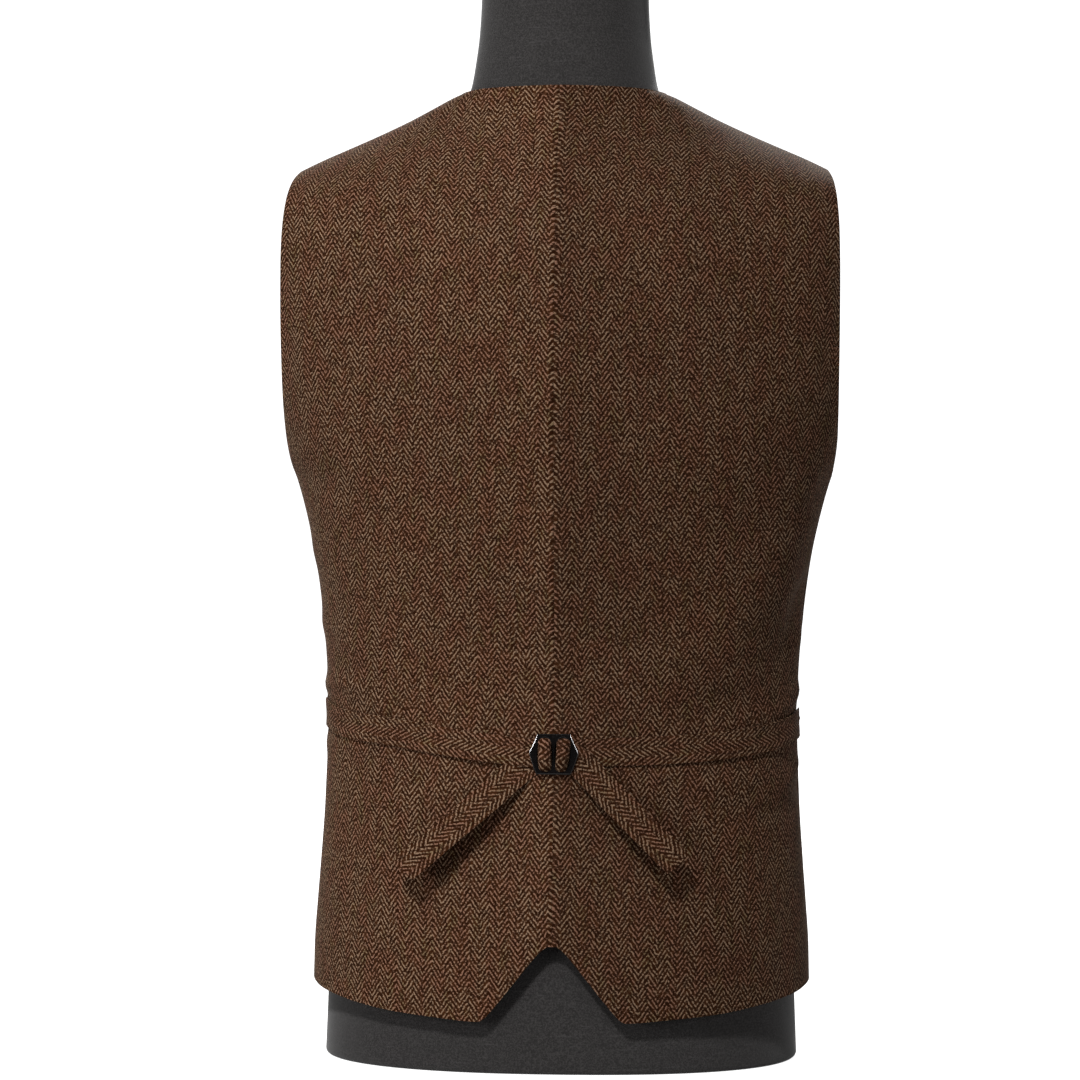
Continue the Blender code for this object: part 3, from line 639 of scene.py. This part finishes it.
# ==== materials
class Nodes:
    """A material's node tree, built by short calls."""

    def __init__(self, name):
        self.material = bpy.data.materials.new(name)
        self.material.use_nodes = True
        self.tree = self.material.node_tree
        self.shader = self.tree.nodes["Principled BSDF"]

    def add(self, kind, **settings):
        node = self.tree.nodes.new(kind)
        for key, value in settings.items():
            setattr(node, key, value)
        return node

    def wire(self, source, target):
        self.tree.links.new(source, target)

    def feed(self, socket, value):
        if isinstance(value, bpy.types.NodeSocket):
            self.wire(value, socket)
        else:
            socket.default_value = value

    def object_place(self):
        return self.add("ShaderNodeTexCoord").outputs["Object"]

    def math(self, operation, first, second=None, third=None):
        node = self.add("ShaderNodeMath", operation=operation)
        for socket, value in zip(node.inputs, (first, second, third)):
            if value is not None:
                self.feed(socket, value)
        return node.outputs[0]

    def noise(self, where, grains, detail=2.0, roughness=0.5):
        """Smooth noise with so many grains to the metre along each axis of where."""
        node = self.add("ShaderNodeTexNoise")
        scaled = self.add("ShaderNodeVectorMath", operation="MULTIPLY")
        self.wire(where, scaled.inputs[0])
        scaled.inputs[1].default_value = grains
        self.wire(scaled.outputs[0], node.inputs["Vector"])
        node.inputs["Scale"].default_value = 1.0
        node.inputs["Detail"].default_value = detail
        node.inputs["Roughness"].default_value = roughness
        return node.outputs["Fac"]

    def span(self, value, low, high, out_low=0.0, out_high=1.0):
        node = self.add("ShaderNodeMapRange", interpolation_type="SMOOTHSTEP")
        self.feed(node.inputs["Value"], value)
        node.inputs["From Min"].default_value = low
        node.inputs["From Max"].default_value = high
        node.inputs["To Min"].default_value = out_low
        node.inputs["To Max"].default_value = out_high
        return node.outputs["Result"]

    def blend(self, share, first, second, kind="MIX"):
        node = self.add("ShaderNodeMix", data_type="RGBA", blend_type=kind)
        self.feed(node.inputs[0], share)
        for socket, value in ((node.inputs[6], first), (node.inputs[7], second)):
            self.feed(socket, (*value, 1.0) if isinstance(value, tuple) else value)
        return node.outputs[2]

    def bump(self, height, strength, distance):
        node = self.add("ShaderNodeBump")
        node.inputs["Strength"].default_value = strength
        node.inputs["Distance"].default_value = distance
        self.wire(height, node.inputs["Height"])
        self.wire(node.outputs[0], self.shader.inputs["Normal"])

    def finish(self, **values):
        for key, value in values.items():
            self.shader.inputs[key.replace("_", " ")].default_value = value
        return self.material


def herringbone(name, half_width, centred, shade=1.0):
    """Woven chevrons read from the cloth's own lengths: light yarns over a dark ground."""
    make = Nodes(name)
    cloth = make.add("ShaderNodeUVMap", uv_map="cloth").outputs[0]
    jitter = make.noise(cloth, (330.0, 260.0, 1.0), 1.0)
    sway = make.noise(cloth, (45.0, 20.0, 1.0))
    parts = make.add("ShaderNodeSeparateXYZ")
    make.wire(cloth, parts.inputs[0])
    across, up = parts.outputs[0], parts.outputs[1]
    side = across if centred else make.math("ABSOLUTE", across)
    shifted = make.math("MULTIPLY_ADD", jitter, 1.6 * MM, side)
    zigzag = make.math("PINGPONG", shifted, half_width)
    slope = RIB_SLOPE if centred else -RIB_SLOPE
    rise = make.math("MULTIPLY_ADD", zigzag, slope, up)
    swayed = make.math("MULTIPLY_ADD", sway, 3.5 * MM, rise)
    phase = make.math("MULTIPLY", swayed, 2.0 * math.pi / RIB_PITCH)
    wave = make.math("SINE", make.math("MULTIPLY_ADD", jitter, 1.2, phase))
    rib = make.span(wave, -0.10, 0.85)
    yarn = make.noise(cloth, (760.0, 760.0, 1.0), 0.0)
    strand = make.noise(cloth, (420.0, 150.0, 1.0), 1.0)
    glint = make.math(
        "MULTIPLY",
        make.span(yarn, 0.38, 0.64, 0.12, 1.85),
        make.span(strand, 0.3, 0.7, 0.72, 1.2),
    )
    fleck = make.span(yarn, 0.56, 0.72, 0.0, 0.16)
    lit = make.math("MULTIPLY_ADD", rib, glint, fleck)
    patches = make.noise(cloth, (85.0, 34.0, 1.0), 2.0, 0.6)
    streaks = make.noise(cloth, (120.0, 42.0, 1.0), 2.0, 0.6)
    warm = make.blend(make.span(patches, 0.42, 0.56), RED_YARN, TAN_YARN)
    mixed = make.blend(make.span(streaks, 0.54, 0.68, 0.0, 0.85), warm, OLIVE_YARN)
    ground = make.blend(make.span(strand, 0.35, 0.75), DARK_YARN, RUST_YARN)
    colour = make.blend(lit, ground, mixed)
    broad = make.noise(cloth, (14.0, 10.0, 1.0))
    worn = make.blend(make.span(broad, 0.3, 0.7, 0.0, 0.5), colour, WORN_TINT, "MULTIPLY")
    # Painted shade: the whole colour multiplied by shade, which is below 1 for the darker copy of the
    # cloth
    shaded = make.blend(1.0, worn, (shade, shade, shade), "MULTIPLY")
    make.wire(shaded, make.shader.inputs["Base Color"])
    make.bump(make.math("MULTIPLY_ADD", yarn, 0.5, rib), 0.6, 0.4 * MM)
    return make.finish(
        Roughness=0.9, Sheen_Weight=0.014, Sheen_Tint=(0.9, 0.65, 0.45, 1.0), Specular_IOR_Level=0.014
    )


def form_cover():
    """Tightly woven charcoal cover, a little pale thread showing."""
    make = Nodes("form_cover")
    where = make.object_place()
    weave = make.noise(where, (900.0, 900.0, 900.0), 1.5, 0.6)
    slub = make.noise(where, (60.0, 60.0, 900.0), 2.0, 0.6)
    shade = make.blend(
        make.span(weave, 0.35, 0.7), (0.0032, 0.0028, 0.0027), (0.0090, 0.0082, 0.0080)
    )
    colour = make.blend(make.span(slub, 0.55, 0.75, 0.0, 0.35), shade, (0.015, 0.014, 0.014))
    make.wire(colour, make.shader.inputs["Base Color"])
    make.bump(weave, 0.35, 0.3 * MM)
    return make.finish(Roughness=0.9, Sheen_Weight=0.05, Specular_IOR_Level=0.09)


def black_metal():
    make = Nodes("buckle_black")
    scuff = make.noise(make.object_place(), (420.0, 420.0, 420.0), 3.0, 0.6)
    make.wire(make.span(scuff, 0.3, 0.7, 0.10, 0.20), make.shader.inputs["Roughness"])
    colour = make.blend(
        make.span(scuff, 0.62, 0.8, 0.0, 0.5), (0.0011, 0.0009, 0.0009), (0.004, 0.0036, 0.0036)
    )
    make.wire(colour, make.shader.inputs["Base Color"])
    return make.finish(Metallic=0.0, Specular_IOR_Level=0.2)


# Painted highlight: bright metal laid on the upper outer bevels only, where the lamps' highlights fall;
# it reflects the strip lamps too
def painted_highlight_metal():
    make = Nodes("buckle_painted_highlight")
    scuff = make.noise(make.object_place(), (500.0, 500.0, 500.0), 2.0, 0.6)
    make.wire(make.span(scuff, 0.3, 0.7, 0.38, 0.48), make.shader.inputs["Roughness"])
    return make.finish(Base_Color=(0.62, 0.62, 0.63, 1.0), Metallic=1.0)


def horn():
    make = Nodes("button_horn")
    where = make.object_place()
    grain = make.noise(where, (90.0, 420.0, 420.0), 3.0, 0.6)
    pale = make.noise(where, (60.0, 160.0, 160.0), 2.0, 0.5)
    brown = make.blend(make.span(grain, 0.3, 0.7), (0.014, 0.006, 0.0028), (0.044, 0.021, 0.010))
    colour = make.blend(make.span(pale, 0.55, 0.72, 0.0, 0.6), brown, (0.085, 0.048, 0.025))
    make.wire(colour, make.shader.inputs["Base Color"])
    return make.finish(Roughness=0.52, Specular_IOR_Level=0.22)


def thread():
    make = Nodes("button_thread")
    twist = make.noise(make.object_place(), (1800.0, 1800.0, 1800.0), 1.0)
    colour = make.blend(make.span(twist, 0.35, 0.7), (0.012, 0.006, 0.0035), (0.036, 0.021, 0.012))
    make.wire(colour, make.shader.inputs["Base Color"])
    return make.finish(Roughness=0.75)


def pale_stage(name, glow):
    make = Nodes(name)
    make.shader.inputs["Emission Color"].default_value = (1.0, 1.0, 1.0, 1.0)
    return make.finish(Base_Color=(0.10, 0.10, 0.10, 1.0), Roughness=0.9, Emission_Strength=glow)


# ==== pieces
def belong(obj, node, replaces=True):
    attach(obj, "root")
    if replaces:
        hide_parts(node)
    return obj


def cloth_panel(name, hand, side, grid, relief, look):
    """Cloth through a grid's points, moved out by its relief and mirrored to its hand."""
    points, across, cut, shape = grid
    up = ClothLength(side)(across, points[:, 2])
    points = points + outward(points) * relief[:, None]
    points[:, 0] *= hand
    past, raised, flare = CUT_SHIFT[hand]
    past = past + flare * np.clip(points[:, 2] - FLARE_BOTTOM, 0.0, FLARE_LENGTH)
    uv = np.stack([hand * (across + past), up + raised], axis=1)
    obj = place_piece(f"{name}_cloth", grid_mesh(name, points, shape, uv, (0, side, 0), cut), look)
    thicken(obj, CLOTH, 1.0, TURNED_EDGE)
    return belong(obj, name)


def back_panel(name, hand, look):
    grid = back_grid()
    points, across = grid[:2]
    relief = relief_of(hand * across, points[:, 2], BACK_CREASES)
    relief -= SEAM_ROLL * np.exp(-((across / SEAM_ROLL_REACH) ** 2))
    relief += SEAM_RIDGE * np.exp(-across / SEAM_RIDGE_REACH)
    return cloth_panel(name, hand, BACK, grid, relief, look)


def front_panel(name, hand, look):
    grid = front_grid()
    points, across = grid[:2]
    relief = relief_of(hand * across, points[:, 2], FRONT_CREASES)
    if hand == LEFT:
        lap = eased(*LAP_RAMP, -points[:, 0]) * (1.0 - eased(*LAP_FADE, points[:, 2]))
        relief += LAP_RISE * lap
    return cloth_panel(name, hand, FRONT, grid, relief, look)


def strap(name, hand, folds, look):
    """A half belt laid rung by rung along its folds, pillowed across its width."""
    path = Profile([(row, *fold) for row, fold in enumerate(folds)], lengths=0)
    rungs = np.linspace(0, len(folds) - 1, STRAP_STEPS * (len(folds) - 1) + 1)
    across, height, tilt, lift, puff = path(rungs).T
    share = np.linspace(0.5, -0.5, STRAP_ACROSS)
    lean = np.radians(tilt)
    at_end = rungs == rungs[-1]
    rounding = at_end[:, None] * (1.0 - (2.0 * share[None, :]) ** 2)
    breadth = STRAP_WIDTH * (1.0 + LOOP_SPREAD * puff)[:, None] * share[None, :]
    reach = across[:, None] * MM + breadth * np.sin(lean)[:, None]
    level = height[:, None] * MM + breadth * np.cos(lean)[:, None]
    reach += rounding * STRAP_END * np.cos(lean)[:, None]
    level -= rounding * STRAP_END * np.sin(lean)[:, None]
    crown = 1.0 - np.abs(2.0 * share[None, :]) ** STRAP_SQUARENESS
    oval = np.sqrt(1.0 - np.abs(2.0 * share[None, :]) ** LOOP_SQUARENESS)
    rise = lift[:, None] * MM + STRAP_SEAT + STRAP_CROWN * crown + puff[:, None] * MM * oval
    below = relief_of(hand * reach.ravel(), level.ravel(), BACK_CREASES)
    points = on_garment(reach.ravel(), level.ravel(), BACK, rise.ravel() + below)
    shape = reach.shape
    middle = points.reshape(*shape, 3)[:, STRAP_ACROSS // 2]
    lengths = np.concatenate([[0.0], np.cumsum(np.linalg.norm(np.diff(middle, axis=0), axis=1))])
    points[:, 0] *= hand
    u = np.broadcast_to((share * STRAP_WIDTH)[None, :], shape).ravel()
    v = np.broadcast_to(lengths[:, None], shape).ravel()
    uv = np.stack([u + 0.5 * STRAP_WIDTH, v], axis=1)
    obj = place_piece(f"{name}_cloth", grid_mesh(name, points, shape, uv, (0, BACK, 0)), look)
    thicken(obj, STRAP_CLOTH, 0.0, STRAP_EDGE)
    return belong(obj, name)


def closed_loop(curve, points):
    spline = curve.splines.new("POLY")
    spline.points.add(len(points) - 1)
    for target, (across, up) in zip(spline.points, points):
        target.co = (across, up, 0.0, 1.0)
    spline.use_cyclic_u = True


def rounded_outline(points, steps):
    """A closed smooth line through the points."""
    corners = np.array(points)
    count = len(corners)
    line = []
    for i in range(count):
        a, b, c, d = (corners[(i + k) % count] for k in (-1, 0, 1, 2))
        for t in np.arange(steps) / steps:
            bend = (2 * a - 5 * b + 4 * c - d) * t**2 + (3 * b - a - 3 * c + d) * t**3
            line.append(0.5 * (2 * b + (c - a) * t + bend))
    return [tuple(point) for point in line]


def facing(seat, out):
    """Placement of a flat piece whose own Z points out of the cloth."""
    out = Vector(out)
    across = Vector((1.0, 0.0, 0.0))
    up = out.cross(across).normalized()
    turned = Matrix((across, up, out)).transposed().to_4x4()
    return Matrix.Translation(Vector(seat)) @ turned


def catches_light(polygon):
    """Whether a face of the buckle belongs to the bevel along its upper outer edges, which gets the
    painted highlight metal.
    """
    normal, centre = polygon.normal, polygon.center
    upper = normal.y > 0.02 and abs(normal.x) > 0.1
    bevelled = 0.05 < normal.z < FLAT
    return upper and bevelled and abs(centre.x) > BUCKLE_BRIGHT_OUT and centre.y > BUCKLE_BRIGHT_UP


def buckle(face, edge):
    """The plate drawn flat with its two windows, bright metal painted on the bevel along the upper outer
    edges for their highlights.
    """
    curve = bpy.data.curves.new("buckle_plate", "CURVE")
    curve.dimensions = "2D"
    curve.fill_mode = "BOTH"
    curve.extrude = BUCKLE_THICKNESS / 2.0 - BUCKLE_EDGE
    curve.bevel_depth = BUCKLE_EDGE
    curve.bevel_resolution = 3
    curve.offset = -BUCKLE_EDGE
    right = [(across * MM, up * MM) for across, up in BUCKLE_OUTLINE]
    left = [(-across, up) for across, up in reversed(right[1:-1])]
    closed_loop(curve, rounded_outline(right + left, 4))
    turns = np.linspace(0.0, 2.0 * math.pi, ROUND_STEPS, endpoint=False)
    half_width, half_height = BUCKLE_WINDOW_HALF
    tall = half_height * rounded_wave(np.sin(turns), BUCKLE_WINDOW_POWER)
    for hand in (LEFT, RIGHT):
        across = hand * BUCKLE_WINDOW_CENTRE + half_width * np.cos(turns)
        closed_loop(curve, list(zip(across, tall)))
    drawn = add_object("buckle_drawn", curve)
    mesh = evaluated_mesh(drawn)
    bpy.data.objects.remove(drawn, do_unlink=True)
    body = bmesh.new()
    body.from_mesh(mesh)
    bmesh.ops.remove_doubles(body, verts=body.verts, dist=WELD)
    body.to_mesh(mesh)
    body.free()
    mesh.materials.clear()
    mesh.materials.append(face)
    mesh.materials.append(edge)
    for polygon in mesh.polygons:
        polygon.use_smooth = abs(polygon.normal.z) < FLAT
        polygon.material_index = int(catches_light(polygon))
    obj = add_object("buckle_plate", mesh)
    middle, height = np.zeros(1), np.array([BUCKLE_HEIGHT])
    seat = on_garment(middle, height, BACK, np.zeros(1))
    out = outward(seat)[0]
    stand = BUCKLE_LIFT + relief_of(middle, height, BACK_CREASES)[0]
    obj.matrix_world = facing(seat[0] + out * stand, out)
    return belong(obj, "buckle")


def lathe(name, outline):
    body = bmesh.new()
    verts = [body.verts.new((out, 0.0, up)) for out, up in outline]
    edges = [body.edges.new(pair) for pair in zip(verts, verts[1:])]
    bmesh.ops.spin(
        body, geom=verts + edges, cent=(0, 0, 0), axis=(0, 0, 1),
        angle=2.0 * math.pi, steps=ROUND_STEPS, use_merge=True,
    )
    bmesh.ops.remove_doubles(body, verts=body.verts, dist=WELD)
    bmesh.ops.recalc_face_normals(body, faces=body.faces)
    mesh = bpy.data.meshes.new(name)
    body.to_mesh(mesh)
    body.free()
    for polygon in mesh.polygons:
        polygon.use_smooth = True
    return mesh


def tube(name, points, radius, look, matrix):
    curve = bpy.data.curves.new(name, "CURVE")
    curve.dimensions = "3D"
    curve.bevel_depth = radius
    curve.bevel_resolution = 2
    curve.use_fill_caps = True
    spline = curve.splines.new("POLY")
    spline.points.add(len(points) - 1)
    for target, point in zip(spline.points, points):
        target.co = (*point, 1.0)
    obj = place_piece(name, curve, look)
    obj.matrix_world = matrix
    return obj


def pierce(disc, spots, depth):
    """Cuts a round hole through the disc at each spot."""
    holes = bmesh.new()
    for x, y in spots:
        bmesh.ops.create_cone(
            holes, cap_ends=True, segments=16, radius1=BUTTON_HOLE, radius2=BUTTON_HOLE,
            depth=depth, matrix=Matrix.Translation((x, y, 0.0)),
        )
    mesh = bpy.data.meshes.new("cutter")
    holes.to_mesh(mesh)
    holes.free()
    cutter = add_object("cutter", mesh)
    cut = disc.modifiers.new("holes", "BOOLEAN")
    cut.operation = "DIFFERENCE"
    cut.solver = "EXACT"
    cut.object = cutter
    pierced = evaluated_mesh(disc)
    disc.modifiers.clear()
    disc.data = pierced
    bpy.data.objects.remove(cutter, do_unlink=True)


def button(number, horn_look, thread_look):
    """A four-hole horn button, its crossed thread, and the buttonhole behind it."""
    node = f"button_{number}"
    low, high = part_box(node)
    height = (low.z + high.z) / 2.0
    cloth_face = LAP_RISE + CLOTH
    seat = on_garment(np.zeros(1), np.array([height]), FRONT, np.array([cloth_face]))[0]
    out = outward(seat[None, :])[0]
    matrix = facing(seat + out * BUTTON_SEAT, out)
    radius, rim, thick = BUTTON_RADIUS, BUTTON_RIM, BUTTON_THICKNESS
    outline = (
        (0.0, 0.0), (radius * 0.72, 0.0), (radius * 0.93, thick * 0.22), (radius, thick * 0.5),
        (radius - rim * 0.12, thick * 0.82), (radius - rim * 0.6, thick),
        (radius - rim * 1.4, thick), (radius - rim * 2.1, thick * 0.82),
        (radius - rim * 3.2, thick * 0.72), (0.0, thick * 0.68),
    )
    disc = place_piece(f"{node}_disc", lathe(f"{node}_disc", outline), horn_look)
    apart = BUTTON_HOLE_SPACING
    spots = [(sx * apart, sy * apart) for sx in (-1, 1) for sy in (-1, 1)]
    pierce(disc, spots, 4 * thick)
    disc.matrix_world = matrix
    belong(disc, node)
    for index, (start, end) in enumerate(((spots[0], spots[3]), (spots[1], spots[2]))):
        arc = []
        for t in np.linspace(0.0, 1.0, 9):
            bulge = thick * (0.70 + 0.22 * math.sin(math.pi * t)) + index * THREAD_CROSSING
            drop = thick * 0.5 if t in (0.0, 1.0) else bulge
            arc.append((mix(start[0], end[0], t), mix(start[1], end[1], t), drop))
        strand = tube(f"{node}_thread_{index + 1}", arc, THREAD_RADIUS, thread_look, matrix)
        belong(strand, node, replaces=False)
    turns = np.linspace(0.0, 2.0 * math.pi, 33)
    half_length, half_height = BUTTONHOLE_HALF
    reach = BUTTONHOLE_CENTRE + half_length * rounded_wave(np.cos(turns), BUTTONHOLE_POWER)
    level = height + half_height * np.sin(turns)
    ring = on_garment(reach, level, FRONT, np.full(len(turns), cloth_face + BUTTONHOLE_LIFT))
    hole = tube(f"{node}_buttonhole", ring, BUTTONHOLE_CORD, thread_look, Matrix.Identity(4))
    belong(hole, node, replaces=False)


def form_sections(heights):
    """The garment's sections drawn in by the form's ease, and the neck's own above them."""
    body = garment(heights)
    at_side, at_depth = ease(heights).T
    body[:, 0] -= at_side
    body[:, 1] += at_depth
    body[:, 2] -= at_depth
    above = heights > neck.level[0]
    return np.where(above[:, None], neck(heights), body)


def dress_form(look):
    """The limbless form: rings up the body, a rolled edge at its base and at its neck."""
    low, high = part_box("dress_form")
    turns = np.linspace(0.0, math.pi / 2, 7)
    rolled = [(FORM_EDGE * (1 - math.sin(t)), FORM_EDGE * (1 - math.cos(t))) for t in turns]
    base = [(low.z + up, inset) for up, inset in reversed(rolled)]
    top = [(high.z - down, inset) for down, inset in rolled]
    stretches = ((low.z + 0.010, 0.565, 74), (0.568, 0.690, 84), (0.695, high.z - 0.006, 14))
    middle = [(z, 0.0) for first, last, rings in stretches for z in np.linspace(first, last, rings)]
    levels = base + middle + top
    heights = np.array([level for level, _ in levels])
    insets = np.array([inset for _, inset in levels])[:, None]
    half_width, back, front, side, squareness = form_sections(heights).T[:, :, None]
    turn = np.linspace(0.0, 2.0 * math.pi, FORM_TURNS, endpoint=False)[None, :]
    sine, cosine = np.sin(turn), np.cos(turn)
    depth = np.where(cosine > 0.0, front - side, side - back) - insets
    x = (half_width - insets) * rounded_wave(sine, 2.0 / squareness)
    y = side + depth * rounded_wave(cosine, 2.0 / squareness)
    room = (ARM_PLATE - np.abs(x)) / ARM_PLATE_SOFTNESS
    x = np.sign(x) * (ARM_PLATE - ARM_PLATE_SOFTNESS * np.logaddexp(0.0, room))
    z = np.broadcast_to(heights[:, None], x.shape)
    points = np.stack([x, y, z], axis=2).reshape(-1, 3)
    index = np.arange(x.size).reshape(x.shape)
    after = np.roll(index, -1, axis=1)
    quads = np.stack([index[:-1], index[1:], after[1:], after[:-1]], axis=-1).reshape(-1, 4)
    faces = quads.tolist() + [index[0].tolist(), index[-1][::-1].tolist()]
    mesh = bpy.data.meshes.new("dress_form_cover")
    mesh.from_pydata(points.tolist(), [], faces)
    for polygon in mesh.polygons:
        polygon.use_smooth = len(polygon.vertices) == 4
    body = bmesh.new()
    body.from_mesh(mesh)
    bmesh.ops.recalc_face_normals(body, faces=body.faces)
    body.to_mesh(mesh)
    body.free()
    obj = place_piece("dress_form_cover", mesh, look)
    return belong(obj, "dress_form")


# ==== studio
CAMERA_DISTANCE = 2.4
CAMERA_HEIGHT = 0.358
CAMERA_AZIMUTH = math.radians(3.5)
CAMERA_ASIDE = -0.0163
CAMERA_ROLL = math.radians(0.25)
CAMERA_LENS = 114.0
STAGE_HALF = 6.0
BACKDROP_AWAY = 4.0
MIDDLE = (0.0, 0.0, 0.38)
BELT_MIDDLE = (0.0, -0.1, 0.21)
# name, where it stands, what it faces, width and height, watts
LIGHTS = (
    ("key", (-1.1, -3.4, 4.1), MIDDLE, (0.5, 0.5), 770.0),
    ("window", (-2.4, -2.0, 0.7), MIDDLE, (1.3, 1.3), 130.0),
    ("top", (-0.2, -0.5, 3.0), MIDDLE, (1.4, 1.4), 3.0),
    ("fill", (2.3, -2.0, 0.7), MIDDLE, (1.2, 1.2), 38.0),
    ("front_key", (0.6, 3.3, 3.0), MIDDLE, (0.9, 0.9), 400.0),
    ("front_fill", (-1.2, 3.4, 1.0), MIDDLE, (1.4, 1.4), 60.0),
    ("strip_left", (-1.9, -1.3, 0.95), BELT_MIDDLE, (0.4, 1.2), 14.0),
    ("strip_right", (1.9, -1.3, 0.95), BELT_MIDDLE, (0.4, 1.2), 14.0),
)


def camera():
    data = bpy.data.cameras.new("camera")
    data.lens = CAMERA_LENS
    data.sensor_width = 36.0
    obj = add_object("camera", data)
    back = Vector((math.sin(CAMERA_AZIMUTH), -math.cos(CAMERA_AZIMUTH), 0.0))
    right = Vector((math.cos(CAMERA_AZIMUTH), math.sin(CAMERA_AZIMUTH), 0.0))
    up = Vector((0.0, 0.0, 1.0))
    turned = Matrix((right, up, back)).transposed().to_4x4()
    spot = back * CAMERA_DISTANCE + right * CAMERA_ASIDE + up * CAMERA_HEIGHT
    obj.matrix_world = Matrix.Translation(spot) @ turned @ Matrix.Rotation(CAMERA_ROLL, 4, "Z")
    bpy.context.scene.camera = obj


def softbox(name, spot, aim, size, power):
    data = bpy.data.lights.new(name, "AREA")
    data.shape = "RECTANGLE"
    data.size, data.size_y = size
    data.energy = power
    obj = add_object(name, data)
    obj.location = spot
    obj.rotation_euler = (Vector(aim) - Vector(spot)).to_track_quat("-Z", "Y").to_euler()


def stage_sheet(name, glow):
    grid = bmesh.new()
    bmesh.ops.create_grid(grid, x_segments=1, y_segments=1, size=STAGE_HALF)
    mesh = bpy.data.meshes.new(name)
    grid.to_mesh(mesh)
    grid.free()
    return place_piece(name, mesh, pale_stage(f"{name}_pale", glow))


def studio():
    floor = stage_sheet("floor", 0.92)
    sweep = stage_sheet("backdrop", 1.0)
    sweep.rotation_euler = (math.radians(90.0), 0.0, 0.0)
    sweep.location = (0.0, BACKDROP_AWAY, 0.0)
    world = bpy.data.worlds.new("studio")
    world.use_nodes = True
    background = world.node_tree.nodes["Background"]
    background.inputs["Color"].default_value = (1.0, 1.0, 1.0, 1.0)
    background.inputs["Strength"].default_value = 0.05
    bpy.context.scene.world = world
    for light in LIGHTS:
        softbox(*light)
    bpy.context.scene.view_settings.view_transform = "Standard"


# ==== the whole
def build():
    cloth = herringbone("herringbone_wool", CHEVRON_HALF_WIDTH, centred=False)
    # Painted shade: the right back panel and the right belt get a copy of the cloth painted darker, for
    # the shade lying on the right side
    painted_shade_cloth = herringbone("herringbone_wool_painted_shade", CHEVRON_HALF_WIDTH, False, RIGHT_SIDE_PAINTED_SHADE)
    backs = {LEFT: cloth, RIGHT: painted_shade_cloth}
    belt_cloth = {
        LEFT: herringbone("herringbone_belt", STRAP_CHEVRON_HALF_WIDTH, True),
        RIGHT: herringbone("herringbone_belt_painted_shade", STRAP_CHEVRON_HALF_WIDTH, True, RIGHT_SIDE_PAINTED_SHADE),
    }
    cover = form_cover()
    horn_look, thread_look = horn(), thread()
    dress_form(cover)
    for hand, word in ((LEFT, "left"), (RIGHT, "right")):
        panel = back_panel(f"back_{word}", hand, backs[hand])
        panel = front_panel(f"front_{word}", hand, cloth)
    for hand, word, folds in ((LEFT, "left", STRAP_LEFT), (RIGHT, "right", STRAP_RIGHT)):
        belt = strap(f"strap_{word}", hand, folds, belt_cloth[hand])
    buckle(black_metal(), painted_highlight_metal())
    for number in range(1, 6):
        button(number, horn_look, thread_look)
    camera()
    studio()


build()
